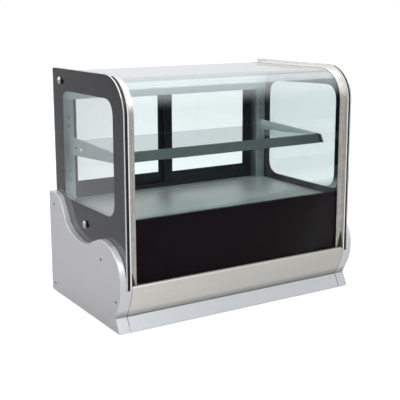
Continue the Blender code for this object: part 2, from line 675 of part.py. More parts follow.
def make_machine():
    x, y, z = 0.235, 0.080, PAN_TOP + GAP
    shell = [(0, 0), (0, 0.060), (0.012, 0.072), (0.075, 0.075), (0.095, 0.078), (0.100, 0.078),
             (0.105, 0.074), (0.150, 0.064), (0.168, 0.040), (0.174, 0)]
    compressor = turned("compressor", shell, "Z", (x, y, z), LOOK["black_metal"], steps=24)
    unite(compressor, helper(block, "compressor_feet", (x - 0.095, y - 0.060, z + 0.002),
                             (x + 0.095, y + 0.060, z + 0.006)))
    unite(compressor, helper(turned, "suction_stub", [(0.040, 0.005), (0.110, 0.005)], "X",
                             (x - 0.170, y, z + 0.120), steps=10))
    low = (-0.365, 0.182, PAN_TOP + GAP)
    condenser = finned_block("condenser", low, (-0.085, 0.240, 0.205), 16, LOOK["aluminium"])
    fan_x, fan_y, fan_z = CONDENSER_FAN
    motor = [(-0.004, 0), (-0.004, 0.0030), (0.0125, 0.0030), (0.0125, 0.022), (0.040, 0.022),
             (0.040, 0)]
    unite(condenser, helper(turned, "condenser_motor", motor, "Y", (fan_x, fan_y, fan_z),
                            steps=16))
    fan("condenser_fan", CONDENSER_FAN, "Y", 0.080, 0.024, 0.022, 1, LOOK["dark_plastic"])
    tub_low, tub_high = (-0.290, -0.170, TUB_LOW), (0.290, 0.125, DECK_LOW - GAP)
    tub = block("evaporator_housing", tub_low, tub_high, LOOK["pale_plastic"])
    wall = 0.003
    cut(tub, helper(block, "tub_inside", (tub_low[0] + wall, tub_low[1] + wall, TUB_LOW + wall),
                    (tub_high[0] - wall, tub_high[1] - wall, 0.32)))
    fan_x, fan_y, fan_z = EVAPORATOR_FAN
    unite(tub, helper(turned, "fan_post",
                      [(TUB_LOW + 0.001 - fan_z, 0.016), (-0.0105, 0.016), (-0.0105, 0.0030),
                       (0.0022, 0.0030)], "Z", EVAPORATOR_FAN, steps=16))
    unite(tub, helper(turned, "spout", [(-0.026, 0.009), (0.002, 0.009)], "Z",
                      (0, 0.095, TUB_LOW), steps=16))
    cut(tub, helper(turned, "spout_bore", [(-0.03, 0.006), (0.01, 0.006)], "Z",
                    (0, 0.095, TUB_LOW), steps=16))
    fan("evaporator_fan", EVAPORATOR_FAN, "Z", 0.055, 0.020, 0.018, -1, LOOK["dark_plastic"])
    finned_block("evaporator", (-0.265, -0.120, TUB_LOW + wall + GAP), (0.115, 0.060, 0.285), 19,
                 LOOK["aluminium"])
    tray_low = (TRAY_X[0], 0.040, PAN_TOP + 0.001)
    tray_high = (TRAY_X[1], 0.262, TRAY_HIGH)
    tray = block("drain_tray", tray_low, tray_high, LOOK["pale_plastic"], bevel=0.001,
                 segments=1, origin=(0.025, 0.151, PAN_TOP + 0.001))
    cut(tray, helper(block, "tray_inside", (tray_low[0] + wall, tray_low[1] + wall, PAN_TOP + 0.003),
                     (tray_high[0] - wall, tray_high[1] - wall, 0.06)))


# ---- assembly -----------------------------------------------------------------------
for old in list(bpy.data.objects):
    bpy.data.objects.remove(old)

LOOK = {
    "tool": material("tool", (1.0, 0.2, 0.2), 0.5),
    "glass": material("clear_glass", (0.92, 0.97, 0.96), 0.02, 0.0, 1.0),
    "black_print": material("black_print", (0.012, 0.010, 0.011), 0.15),
    "stainless": material("brushed_stainless", (0.66, 0.64, 0.61), 0.28, 1.0),
    "chrome": material("chrome", (0.80, 0.80, 0.82), 0.06, 1.0),
    "silver": material("silver_paint", (0.47, 0.47, 0.50), 0.35, 0.6),
    "pale_metal": material("pale_kick_metal", (0.62, 0.66, 0.68), 0.35, 0.7),
    "galvanised": material("galvanised_sheet", (0.50, 0.52, 0.53), 0.45, 0.8),
    "grey_metal": material("grey_aluminium", (0.45, 0.48, 0.50), 0.35, 0.7),
    "dark_metal": material("dark_aluminium", (0.030, 0.032, 0.035), 0.35, 0.3),
    "aluminium": material("fin_aluminium", (0.70, 0.71, 0.72), 0.35, 1.0),
    "dark_steel": material("dark_screw_steel", (0.08, 0.08, 0.09), 0.35, 0.9),
    "black_metal": material("black_enamel", (0.015, 0.015, 0.016), 0.35, 0.2),
    "rubber": material("black_rubber", (0.02, 0.02, 0.02), 0.8),
    "lens": material("lamp_diffuser", (0.95, 0.96, 0.95), 0.3),
    "dark_plastic": material("dark_grey_plastic", (0.065, 0.070, 0.070), 0.45),
    "grey_plastic": material("grey_plastic", (0.35, 0.35, 0.36), 0.45),
    "pale_plastic": material("pale_plastic", (0.75, 0.76, 0.76), 0.5),
    "gloss_black": material("gloss_black_plastic", (0.01, 0.01, 0.011), 0.15),
}

make_base()
make_front_sheets()
make_front_glass()
make_rear_frame()
make_shelf()
for LABEL, SIDE in SIDES:
    make_side_unit(LABEL, SIDE)
    make_side_cover(LABEL, SIDE)
    make_door(LABEL, SIDE)
    make_trim(LABEL, SIDE)
    make_knob("glass_knob_top_" + LABEL, SIDE, *TOP_KNOB)
    make_knob("glass_knob_low_" + LABEL, SIDE, *LOW_KNOB)
make_rear_panel()
make_controls()
make_machine()
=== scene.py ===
"""Looks of the counter-top refrigerated display case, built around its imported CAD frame.

Metres, +Z up, front towards -Y, in the frame's own coordinates.
"""
import json
import math

import bmesh
import bpy
from mathutils import Euler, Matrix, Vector


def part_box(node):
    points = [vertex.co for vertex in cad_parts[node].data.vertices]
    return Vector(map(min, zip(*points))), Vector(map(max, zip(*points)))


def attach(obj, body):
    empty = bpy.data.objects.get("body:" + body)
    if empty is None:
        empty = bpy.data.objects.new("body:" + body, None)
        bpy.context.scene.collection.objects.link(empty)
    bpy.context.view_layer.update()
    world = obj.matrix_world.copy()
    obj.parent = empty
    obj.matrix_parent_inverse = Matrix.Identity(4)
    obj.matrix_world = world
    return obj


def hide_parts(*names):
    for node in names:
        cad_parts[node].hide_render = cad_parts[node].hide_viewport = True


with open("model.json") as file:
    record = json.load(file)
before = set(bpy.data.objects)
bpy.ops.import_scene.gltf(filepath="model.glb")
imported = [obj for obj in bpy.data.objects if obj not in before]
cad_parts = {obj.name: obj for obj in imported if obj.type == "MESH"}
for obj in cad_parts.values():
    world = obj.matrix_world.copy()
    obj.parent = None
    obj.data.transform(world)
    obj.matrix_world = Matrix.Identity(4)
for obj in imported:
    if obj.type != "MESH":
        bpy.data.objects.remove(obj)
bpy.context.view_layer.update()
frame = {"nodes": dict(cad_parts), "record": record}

# ---- camera ----
CAMERA_PLACE = (-1.523, -2.42, 0.9577)
CAMERA_YAW = 30.77
CAMERA_PITCH = 11.3
CAMERA_ROLL = -0.38
CAMERA_LENS = 76.4
CAMERA_SHIFT = 0.05

# ---- sizes ----
SIDES = (("left", -1), ("right", 1))
PLANE = {"X": (1, 2), "Y": (0, 2), "Z": (0, 1)}  # coordinates of an outline across each axis
GAP = 0.0003
PANE_CORNER = 0.115
SPACER_BAR = 0.014
PRINT = 0.001
WINDOW = ((-0.198, 0.345), (0.176, 0.704))  # (y, z) of the clear part of the sides
WINDOW_CORNER = 0.055
GLASS_BEND = 0.102
GLASS_THICK = 0.006
TRIM_THICK = 0.0012
TRIM_LEG = 0.0124
COVER_WALL = 0.003
COVER_RIM = 0.0024
COVER_SCREWS = ((0.221, 0.314), (-0.138, 0.208), (0.233, 0.031), (-0.236, 0.1))
NOSE_MIDDLE = 0.155
KNEE_Y = -0.234
TOE_Y = -0.256
SKIRT_BACK = -0.22
FLOOR_CLEAR = 0.003
SHEET = 0.0016
SEAM = 0.0012
DECK_SHEET = 0.002
DECK_SLOT = (0.033, 0.003)  # half length and half width
DECK_SLOT_ROWS = (-0.205, 0.172)
DECK_SLOT_PITCH = 0.082
LAMP_CAP = 0.014
DOOR_HOLE_Z = (0.375, 0.668)
DOOR_THICK = 0.012
STILE = 0.032
GASKET = 0.0026
GRIP_Z = (0.45, 0.6)
GRIP_INSET = 0.009
RAIL_FACE = -0.1545
RAIL_REAR = -0.14
RAIL_GROOVE = -0.1507
RAIL_SHOULDER = 0.5205
ARM_THICK = 0.003
ARM_HOOKS_Z = (0.49, 0.52)
LOUVRE_X = (-0.235, 0.0)
LOUVRE_Z = 0.075
LOUVRE_PITCH = 0.016
LOUVRE_SLOT = (0.08, 0.0035)
HOOD_HALF = 0.083
HOOD_DROP = 0.0105
HOOD_PROUD = 0.0036
HOOD_THICK = 0.0007
SCREEN = ((0.235, 0.243), (0.279, 0.266))  # (x, z) of the display
LIGHTS_X = (0.292, 0.305, 0.318)
LIGHTS_Z = 0.258
ROCKER_Z = 0.2525
ROCKER_RADIUS = 0.0085
ROCKER_TILT = math.radians(8)
ROCKERS = (("lamp_switch", "lamp_rocker"), ("power_switch", "power_rocker"))
KEYS = (("set_button", "set_key"), ("up_button", "up_key"), ("down_button", "down_key"))
CONDENSER_FAN = (-0.225, 0.15, 0.112)
EVAPORATOR_FAN = (0.205, -0.02, 0.248)
DRAIN_Y = 0.095
TRAY_WALL = 0.003
COMPRESSOR_X = 0.235


def put_in_scene(name, data):
    made = bpy.data.objects.new(name, data)
    bpy.context.scene.collection.objects.link(made)
    return made


def make_camera():
    camera = put_in_scene("camera", bpy.data.cameras.new("camera"))
    camera.data.sensor_width = 36.0
    camera.data.lens = CAMERA_LENS
    camera.data.shift_x = CAMERA_SHIFT
    camera.data.shift_y = -CAMERA_SHIFT
    camera.location = CAMERA_PLACE
    look = Euler((math.radians(90 - CAMERA_PITCH), 0, -math.radians(CAMERA_YAW)), "XYZ")
    roll = Euler((0, 0, math.radians(CAMERA_ROLL)), "XYZ")
    camera.rotation_euler = (look.to_matrix() @ roll.to_matrix()).to_euler()
    bpy.context.scene.camera = camera


# ---- materials ----
class Tree:
    """Short names for building the nodes of a material or of the world."""

    def __init__(self, owner):
        owner.use_nodes = True
        self.owner = owner
        self.nodes = owner.node_tree.nodes
        self.links = owner.node_tree.links
        self.shader = self.nodes.get("Principled BSDF")

    def put(self, socket, value):
        """Link an output to the socket, or set a number, a vector or a colour on it."""
        if isinstance(value, bpy.types.NodeSocket):
            self.links.new(value, socket)
        else:
            socket.default_value = (*value, 1.0) if socket.type == "RGBA" else value

    def add(self, kind, inputs=None, **settings):
        """Make a node and give back its outputs."""
        node = self.nodes.new("ShaderNode" + kind)
        for key, value in settings.items():
            setattr(node, key, value)
        for key, value in (inputs or {}).items():
            self.put(node.inputs[key], value)
        return node.outputs

    def place(self, scale=(1, 1, 1)):
        """The surface's own place in metres, stretched by scale."""
        return self.add("Mapping", {"Scale": scale, "Vector": self.add("TexCoord")["Object"]})[0]

    def along(self, axis):
        return self.add("SeparateXYZ", {0: self.place()})[axis]

    def noise(self, scale, stretch=(1, 1, 1), detail=2.0, roughness=0.55):
        return self.add("TexNoise", {"Scale": scale, "Detail": detail, "Roughness": roughness,
                                     "Vector": self.place(stretch)})["Fac"]

    def ramp(self, source, low=0.0, high=1.0, start=0.3, end=0.7, **settings):
        """A number that goes from low to high as source goes from start to end."""
        return self.add("MapRange", {"Value": source, "From Min": start, "From Max": end,
                                     "To Min": low, "To Max": high}, **settings)[0]

    def calculate(self, operation, first, second):
        return self.add("Math", {0: first, 1: second}, operation=operation)[0]

    def blend(self, factor, low, high):
        """A colour that goes from low to high as factor goes from 0 to 1."""
        return self.add("Mix", {0: factor, 6: low, 7: high}, data_type="RGBA")[2]

    def tones(self, factor, colour, low, high):
        """A mix of two shades of one colour."""
        return self.blend(factor, shaded(colour, low), shaded(colour, high))

    def feed(self, **inputs):
        """Set the shader's own sockets; underscores stand for spaces."""
        for key, value in inputs.items():
            self.put(self.shader.inputs[key.replace("_", " ")], value)

    def bump(self, height, strength, distance):
        self.feed(Normal=self.add("Bump", {"Strength": strength, "Distance": distance,
                                           "Height": height})["Normal"])

    def show(self, share, first, second):
        """Show a mix of two shaders."""
        mix = self.add("MixShader", {0: share, 1: first, 2: second})[0]
        self.links.new(mix, self.nodes["Material Output"].inputs["Surface"])


def new_material(name):
    return Tree(bpy.data.materials.new(name))


def shaded(colour, share):
    return tuple(min(1.0, channel * share) for channel in colour)


ALONG_X = (2, 260, 260)
ALONG_Z = (260, 260, 2)
# Painted shade, as (axis, start, end, low, high): the foot entry darkens the lowest band of a bulged face
# as if it were in shade under the bulge; the panel also darkens towards +X, and darkens its upward
# rounded top edge to hold back the highlight there.
FOOT_PAINTED_SHADE = ("Z", 0.046, 0.072, 0.42, 1.0)
PANEL_PAINTED_SHADES = (FOOT_PAINTED_SHADE, ("X", -0.45, 0.45, 1.0, 0.8), ("Z", 0.1455, 0.1495, 1.0, 0.45))
# Painted shade on the trims: darker below the bend, full colour over it.
TRIM_PAINTED_SHADE = [("Z", 0.66, 0.745, 0.81, 1.0)]
FRONT_SHEENS = [("clear", 0.345, 0.4, 0.85, 0.0), ("mirror", 0.68, 0.74, 0.0, 0.22),
                ("mirror", 0.75, 0.758, 0.0, 0.4)]


def brushed_metal(name, colour, roughness, grain=ALONG_X, metallic=1.0, tone=0.1, painted_shades=()):
    """Metal with fine lines along one axis, soft clouding and faint hand marks in its sheen.

    Each painted shade entry holds (axis, start, end, low, high): the colour's share goes from low to high
    there, darkening the metal to stand in for shade.
    """
    tree = new_material(name)
    lines = tree.noise(6.0, grain, 4.0, 0.65)
    cloud = tree.noise(4.0)
    marks = tree.noise(11.0, (1, 1.7, 1.3), 5.0, 0.62)
    shade = tree.tones(tree.ramp(lines), colour, 1 - tone, 1 + tone)
    clouded = tree.blend(tree.ramp(cloud, 0.0, 0.5), shade, shaded(colour, 1.03))
    # Painted shade: each entry darkens the colour along its axis.
    for axis, start, end, low, high in painted_shades:
        share = tree.ramp(tree.along(axis), low, high, start, end)
        clouded = tree.blend(share, (0, 0, 0), clouded)
    grained = tree.ramp(lines, roughness * 0.85, roughness * 1.15)
    rough = tree.calculate("ADD", grained, tree.calculate("MULTIPLY", marks, 0.1))
    tree.feed(Base_Color=clouded, Metallic=metallic, Roughness=rough)
    tree.bump(lines, 0.1, 0.0004)
    return tree.owner


def spangled_metal(name, colour, roughness):
    """Zinc-coated sheet: overlapping pale crystals with slightly different sheen."""
    tree = new_material(name)
    cells = tree.add("TexVoronoi", {"Scale": 90.0, "Randomness": 1.0, "Vector": tree.place()})
    tone = tree.add("SeparateColor", {"Color": cells["Color"]})[0]
    cloud = tree.noise(5.0, detail=3.0)
    crystal = tree.tones(tone, colour, 0.86, 1.12)
    tree.feed(Base_Color=tree.blend(tree.ramp(cloud, 0.0, 0.4), crystal, colour), Metallic=0.9,
              Roughness=tree.ramp(tone, roughness * 0.8, roughness * 1.2, 0.0, 1.0))
    tree.bump(cells["Distance"], 0.05, 0.0005)
    return tree.owner


def moulded(name, colour, roughness, grain=900.0, depth=0.00015, speckle=0.06, metallic=0.0):
    """Plastic, rubber or paint with a fine grained skin and faint handling marks."""
    tree = new_material(name)
    skin = tree.noise(grain)
    cloud = tree.noise(9.0, detail=3.0)
    fleck = tree.tones(tree.ramp(skin), colour, 1 - speckle, 1 + speckle)
    tree.feed(Base_Color=tree.blend(tree.ramp(cloud, 0.0, 0.45), fleck, colour), Metallic=metallic,
              Roughness=tree.ramp(cloud, roughness * 0.92, min(1.0, roughness * 1.1)))
    tree.bump(skin, 0.25, depth)
    return tree.owner


def polished(name, colour, roughness, metallic=0.0, marks=0.03, specular=0.5):
    """Smooth surface with faint wiping marks in its gloss."""
    tree = new_material(name)
    wipes = tree.noise(14.0, (1, 1.6, 1), 4.0, 0.6)
    cloud = tree.noise(30.0)
    tree.feed(Base_Color=tree.tones(tree.ramp(cloud), colour, 0.93, 1),
              Metallic=metallic, Roughness=tree.ramp(wipes, roughness, roughness + marks),
              Specular_IOR_Level=specular)
    return tree.owner


def glass(name, tint, specular, sheens=()):
    """Clear pane that lets lamps through, with a faint uneven tint.

    sheens holds (kind, start, end, low, high): that share of the kind goes from low to high
    as the height goes from start to end.
    """
    tree = new_material(name)
    cloud = tree.noise(1.5)
    tree.feed(Base_Color=tree.tones(tree.ramp(cloud), tint, 1, 1.012),
              Roughness=0.0, IOR=1.5, Transmission_Weight=1.0, Specular_IOR_Level=specular)
    kinds = {"clear": tree.add("BsdfTransparent", {"Color": tint})[0],
             "mirror": tree.add("BsdfAnisotropic", {"Color": (0.95, 0.98, 1.0), "Roughness": 0.02})[0]}
    skin = tree.shader.outputs[0]
    for kind, start, end, low, high in sheens:
        share = tree.ramp(tree.along("Z"), low, high, start, end)
        skin = tree.add("MixShader", {0: share, 1: skin, 2: kinds[kind]})[0]
    tree.show(tree.add("LightPath")["Is Shadow Ray"], skin, kinds["clear"])
    return tree.owner


def lamp_cover(name):
    """Milky ribbed tube cover with the lamp lit behind it."""
    tree = new_material(name)
    ribs = tree.add("TexWave", {"Scale": 60.0, "Distortion": 0.0, "Vector": tree.place()},
                    bands_direction="Z")["Fac"]
    tree.feed(Base_Color=tree.blend(ribs, (0.56, 0.6, 0.6), (0.64, 0.67, 0.66)),
              Roughness=0.35, Emission_Color=(0.93, 1.0, 0.98), Emission_Strength=0.1)
    tree.bump(ribs, 0.15, 0.0004)
    return tree.owner


LOOK = {
    "glass": glass("clear_glass", (0.91, 0.935, 0.94), 0.15),
    "front_glass": glass("clear_front_glass", (0.74, 0.805, 0.805), 0.5, FRONT_SHEENS),
    "glass_edge": polished("ground_glass_edge", (0.4, 0.41, 0.41), 0.22, 0.0, 0.1),
    "inner_edge": polished("inner_glass_edge", (0.62, 0.61, 0.6), 0.22, 0.0, 0.1),
    # Pale look for the upward faces of the pane rims and the edge seal: a painted highlight.
    "painted_highlight": polished("pane_rim_painted_highlight", (0.72, 0.72, 0.73), 0.3, 0.0, 0.1),
    "shelf_edge": polished("green_glass_edge", (0.2, 0.34, 0.31), 0.18, 0.0, 0.06),
    "black_print": polished("black_enamel_print", (0.0045, 0.0025, 0.003), 0.5, 0.0, 0.1, 0.02),
    "black_band": polished("black_band_enamel", (0.019, 0.0085, 0.0115), 0.5, 0.0, 0.1, 0.02),
    "black_seal": moulded("black_edge_seal", (0.01, 0.009, 0.009), 0.45, 600.0),
    "stainless": brushed_metal("satin_stainless", (0.79, 0.775, 0.74), 0.33, ALONG_X, 0.6),
    "panel": brushed_metal("satin_panel_steel", (0.84, 0.83, 0.785), 0.33, ALONG_X, 0.6,
                           painted_shades=PANEL_PAINTED_SHADES),
    # Painted light: a lighter copy of the cover's silver paint for its front-facing faces, with the
    # foot's painted shade.
    "nose": brushed_metal("nose_paint_painted_light", (0.78, 0.79, 0.8), 0.42, ALONG_X, 0.6,
                          painted_shades=[FOOT_PAINTED_SHADE]),
    "trim": brushed_metal("trim_stainless", (0.86, 0.835, 0.805), 0.22, ALONG_Z, 0.7, 0.035,
                          TRIM_PAINTED_SHADE),
    "chrome": polished("chrome", (0.8, 0.8, 0.82), 0.05, 1.0),
    "silver": moulded("silver_paint", (0.66, 0.66, 0.67), 0.32, 1400.0, 0.00001, 0.03, 0.65),
    "pale_metal": brushed_metal("pale_kick_metal", (0.485, 0.505, 0.53), 0.36, ALONG_X, 0.4),
    "arm_paint": moulded("white_arm_paint", (0.88, 0.92, 0.92), 0.4),
    "galvanised": spangled_metal("galvanised_sheet", (0.5, 0.52, 0.53), 0.42),
    "grey_metal": brushed_metal("grey_aluminium", (0.7, 0.75, 0.78), 0.35),
    "white_metal": brushed_metal("white_header_metal", (0.72, 0.78, 0.8), 0.4, ALONG_X, 0.3),
    "dark_metal": brushed_metal("dark_aluminium", (0.04, 0.045, 0.052), 0.32),
    "aluminium": brushed_metal("fin_aluminium", (0.72, 0.73, 0.74), 0.3),
    "copper": brushed_metal("copper_pipe", (0.72, 0.36, 0.22), 0.25, (40, 40, 40)),
    "dark_steel": polished("dark_screw_steel", (0.1, 0.1, 0.11), 0.28, 1.0),
    "black_metal": moulded("black_enamel", (0.014, 0.014, 0.015), 0.3, 500.0),
    "rubber": moulded("black_rubber", (0.018, 0.018, 0.018), 0.75, 700.0),
    "lens": lamp_cover("lamp_diffuser"),
    "dark_plastic": moulded("dark_grey_plastic", (0.075, 0.09, 0.087), 0.4),
    "grey_plastic": moulded("grey_plastic", (0.33, 0.33, 0.34), 0.45),
    "pale_plastic": moulded("pale_plastic", (0.72, 0.73, 0.73), 0.45),
    "gloss_black": polished("gloss_black_plastic", (0.01, 0.01, 0.011), 0.1),
    "lens_off": polished("amber_lens", (0.3, 0.16, 0.03), 0.15),
}
SLOT = {part["node"]: part["material_slot"] for part in frame["record"]["subparts"]}
for node_name, node in frame["nodes"].items():
    node.data.materials.clear()
    node.data.materials.append(LOOK[SLOT[node_name]])
frame["nodes"]["header_rail"].data.materials[0] = LOOK["white_metal"]


# ---- outlines ----
def turns(count):
    """Angles of a full turn in even steps."""
    return [2 * math.pi * step / count for step in range(count)]


def arc(centre, radius, start, end, steps):
    """Points from start to end, in degrees, on a circle in the outline's plane."""
    angles = [math.radians(start + (end - start) * step / steps) for step in range(steps + 1)]
    return [(centre[0] + radius * math.cos(angle), centre[1] + radius * math.sin(angle))
            for angle in angles]


def circle(centre, radius, steps):
    return arc(centre, radius, 0, 360, steps)[:-1]


def rectangle(low, high, inset=0.0):
    (left, foot), (right, top) = low, high
    return [(left + inset, foot + inset), (right - inset, foot + inset),
            (right - inset, top - inset), (left + inset, top - inset)]


def around(centre, half):
    """Low and high corners of a rectangle round a point."""
    return ((centre[0] - half[0], centre[1] - half[1]), (centre[0] + half[0], centre[1] + half[1]))


def face_of(node, axis):
    """Low and high corners of a node's box, seen along an axis."""
    return [tuple(corner[index] for index in PLANE[axis]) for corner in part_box(node)]


def middle(node):
    return [(low + high) / 2 for low, high in zip(*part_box(node))]


def bend(start, corner, end, steps=8):
    """Short curve from start to end that bends round the corner point."""
    start, corner, end = Vector(start), Vector(corner), Vector(end)
    return [tuple(start * (1 - t) ** 2 + corner * 2 * t * (1 - t) + end * t * t)
            for t in (step / steps for step in range(steps + 1))]


def rounded(points, radius, steps=6):
    """An outline with each corner eased by a short curve."""
    eased = []
    for index, point in enumerate(points):
        here = Vector(point)
        before = Vector(points[index - 1]) - here
        after = Vector(points[(index + 1) % len(points)]) - here
        half = before.angle(after) / 2
        reach = min(radius / math.tan(half), 0.48 * before.length, 0.48 * after.length)
        eased += bend(here + before.normalized() * reach, here, here + after.normalized() * reach, steps)
    return eased


def eased_box(low, high, radius, steps=6, inset=0.0):
    return rounded(rectangle(low, high, inset), radius, steps)


def smooth_curve(points, steps):
    """A Catmull-Rom curve through the points, ends included."""
    padded = [points[0]] + list(points) + [points[-1]]
    curve = []
    for corners in zip(padded, padded[1:], padded[2:], padded[3:]):
        for step in range(steps):
            t = step / steps
            curve.append(tuple(0.5 * (2 * b + (c - a) * t + (2 * a - 5 * b + 4 * c - d) * t * t
                                      + (3 * b - a - 3 * c + d) * t ** 3)
                               for a, b, c, d in zip(*corners)))
    curve.append(tuple(points[-1]))
    return curve


def offset(points, distance, closed=True):
    """Move an outline sideways: to the right of its direction for a positive distance."""
    moved = []
    count = len(points)
    for index in range(count):
        here = Vector(points[index])
        before = Vector(points[index - 1]) if closed or index else here
        after = Vector(points[(index + 1) % count]) if closed or index < count - 1 else here
        sides = [step.normalized() for step in (here - before, after - here) if step.length > 0]
        normals = [Vector((side.y, -side.x)) for side in sides]
        mean = sum(normals, Vector((0, 0))).normalized()
        moved.append(tuple(here + mean * (distance / mean.dot(normals[0]))))
    return moved


def strip(points, thickness):
    """A closed band of even thickness on the right of an open line."""
    return list(points) + offset(points, thickness, closed=False)[::-1]


# ---- shapes ----
def at_axis(axis, along, pair):
    """World point for an outline point: pair is (y, z), (x, z) or (x, y)."""
    point = list(pair)
    point.insert("XYZ".index(axis), along)
    return tuple(point)


def round_axis(axis, centre, along, radius, angle):
    """World point at a distance along the axis and at an angle round it."""
    point = list(centre)
    point["XYZ".index(axis)] += along
    point[PLANE[axis][0]] += radius * math.cos(angle)
    point[PLANE[axis][1]] += radius * math.sin(angle)
    return point


def ease_edges(bm, edges, width, segments=2, clamp=True):
    bmesh.ops.bevel(bm, geom=edges, offset=width, segments=segments, profile=0.5, affect="EDGES",
                    clamp_overlap=clamp)


def prism(outline, axis, low, high, holes=(), bevel=0.0, segments=2, corner=25):
    """Extrude an outline, with any holes, along an axis, and round its rims."""
    bm = bmesh.new()
    edges = []
    for loop in (outline, *holes):
        corners = [bm.verts.new(at_axis(axis, low, pair)) for pair in loop]
        edges += [bm.edges.new(pair) for pair in zip(corners, corners[1:] + corners[:1])]
    if holes:
        bmesh.ops.triangle_fill(bm, use_beauty=True, edges=edges)
    else:
        bm.faces.new(corners)
    grown = bmesh.ops.extrude_face_region(bm, geom=list(bm.faces), use_keep_orig=True)
    lift = Vector(at_axis(axis, high - low, (0, 0)))
    for item in grown["geom"]:
        if isinstance(item, bmesh.types.BMVert):
            item.co += lift
    bmesh.ops.recalc_face_normals(bm, faces=bm.faces)
    if bevel:
        sharp = [edge for edge in bm.edges if edge.calc_face_angle(0) > math.radians(corner)]
        ease_edges(bm, sharp, bevel, segments)
    return bm


def filled(node, outline, axis, inset=0.0, **options):
    """Extrude an outline along an axis from end to end of a node's box, less the inset."""
    low, high = [corner["XYZ".index(axis)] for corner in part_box(node)]
    return prism(outline, axis, low + inset, high - inset, **options)


def block(low, high, **options):
    return prism(rectangle(low[:2], high[:2]), "Z", low[2], high[2], **options)


def turned(profile, axis, centre, steps=48, out=1):
    """Turn a profile of (distance along the axis, radius) pairs, from one end to the other."""
    bm = bmesh.new()
    rings = [[bm.verts.new(round_axis(axis, centre, out * along, radius, angle))
              for angle in (turns(steps) if radius > 0 else [0])] for along, radius in profile]
    for first, second in zip(rings, rings[1:]):
        for step in range(steps):
            corners = [first[step % len(first)], first[(step + 1) % len(first)],
                       second[(step + 1) % len(second)], second[step % len(second)]]
            bm.faces.new(list(dict.fromkeys(corners)))
    for end in (rings[0], rings[-1]):
        if len(end) > 1:
            bm.faces.new(end)
    return bm


def loft(rings, closed=False):
    """Skin a row of rings with the same number of points; open rows get end caps."""
    bm = bmesh.new()
    rows = [[bm.verts.new(point) for point in ring] for ring in rings]
    pairs = list(zip(rows, rows[1:] + rows[:1]))
    for first, second in pairs if closed else pairs[:-1]:
        for index in range(len(first)):
            nearby = (index + 1) % len(first)
            bm.faces.new((first[index], first[nearby], second[nearby], second[index]))
    if not closed:
        bm.faces.new(rows[0])
        bm.faces.new(rows[-1])
    return bm


def ring(profile, axis, centre, steps=48, out=1):
    """Turn a closed profile of (distance along the axis, radius) pairs that stays off the axis."""
    return loft([[round_axis(axis, centre, out * along, radius, angle) for along, radius in profile]
                 for angle in turns(steps)], closed=True)


def to_mesh(name, bm):
    mesh = bpy.data.meshes.new(name)
    bm.to_mesh(mesh)
    bm.free()
    return mesh


def joined(*shapes):
    """Several shells in one mesh."""
    whole = bmesh.new()
    for shape in shapes:
        scratch = to_mesh("scratch", shape)
        whole.from_mesh(scratch)
        bpy.data.meshes.remove(scratch)
    return whole


def carved(shape, tool, operation="DIFFERENCE"):
    """Cut a tool out of a shape, or unite them, with Blender's exact Boolean."""
    pair = []
    for bm in (shape, tool):
        bmesh.ops.recalc_face_normals(bm, faces=bm.faces)
        pair.append(put_in_scene("carve", to_mesh("carve", bm)))
    change = pair[0].modifiers.new("carve", "BOOLEAN")
    change.operation = operation
    change.solver = "EXACT"
    change.object = pair[1]
    result = bmesh.new()
    result.from_mesh(pair[0].evaluated_get(bpy.context.evaluated_depsgraph_get()).to_mesh())
    for made in pair:
        bpy.data.objects.remove(made)
    return result


def add_piece(name, bm, look, replaces=(), body="case", slot=None, edges=(), sharp=32):
    """Make a visible piece; the slot argument is not used.

    edges holds (look, test): faces that pass a test get that look.
    """
    slot = slot or look
    bmesh.ops.remove_doubles(bm, verts=bm.verts, dist=2e-6)
    bmesh.ops.recalc_face_normals(bm, faces=bm.faces)
    for index, (_, test) in enumerate(edges, 1):
        for face in bm.faces:
            if test(face):
                face.material_index = index
    mesh = to_mesh(name, bm)
    mesh.shade_smooth()
    mesh.set_sharp_from_angle(angle=math.radians(sharp))
    for name_of_look in [look] + [edge_look for edge_look, _ in edges]:
        mesh.materials.append(LOOK[name_of_look])
    piece = put_in_scene(name, mesh)
    normals = piece.modifiers.new("normals", "WEIGHTED_NORMAL")
    normals.keep_sharp = True
    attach(piece, body)
    if replaces:
        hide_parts(*replaces)
    return piece


def mirrored(side, near, far):
    """A low and high X for a piece on the left (-1) or right (1)."""
    return tuple(sorted((side * near, side * far)))


def span(node):
    """Smallest and largest distance of a side's node from the middle plane."""
    low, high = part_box(node)
    return tuple(sorted((abs(low.x), abs(high.x))))


def cross_recess(width, centre, axis, low, high):
    """Plus-shaped cutter for a screw head."""
    arm, reach = width / 2, width * 1.6
    plus = [(-arm, -reach), (arm, -reach), (arm, -arm), (reach, -arm), (reach, arm), (arm, arm),
            (arm, reach), (-arm, reach), (-arm, arm), (-reach, arm), (-reach, -arm), (-arm, -arm)]
    return prism([(x + centre[0], y + centre[1]) for x, y in plus], axis, low, high)


def screw_head(place, axis, out, radius, rise):
    """Pan head with a cross recess, on a short shank. out is +1 or -1 along the axis."""
    profile = [(-0.004, 0), (-0.004, radius * 0.45), (0, radius * 0.45), (0, radius)]
    profile += [(rise * math.sin(a), radius * (0.62 + 0.38 * math.cos(a)))
                for a in (math.radians(30), math.radians(60), math.radians(90))]
    head = turned(profile + [(rise, 0)], axis, place, 24, out)
    start = place["XYZ".index(axis)]
    slot = cross_recess(radius * 0.3, [place[index] for index in PLANE[axis]], axis,
                        *sorted((start + out * rise * 0.25, start + out * rise * 3)))
    return carved(head, slot)


# ---- glazed sides ----
def unit_outline(node, inset=0.0):
    """Side unit: square but for the large front top corner. Pairs are (y, z)."""
    low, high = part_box(node)
    front, rear, foot, top = low.y + inset, high.y - inset, low.z + inset, high.z - inset
    corner = PANE_CORNER - inset
    return ([(front, foot), (rear, foot)] + arc((rear - 0.006, top - 0.006), 0.006, 0, 90, 6)
            + arc((front + corner, top - corner), corner, 90, 180, 40))


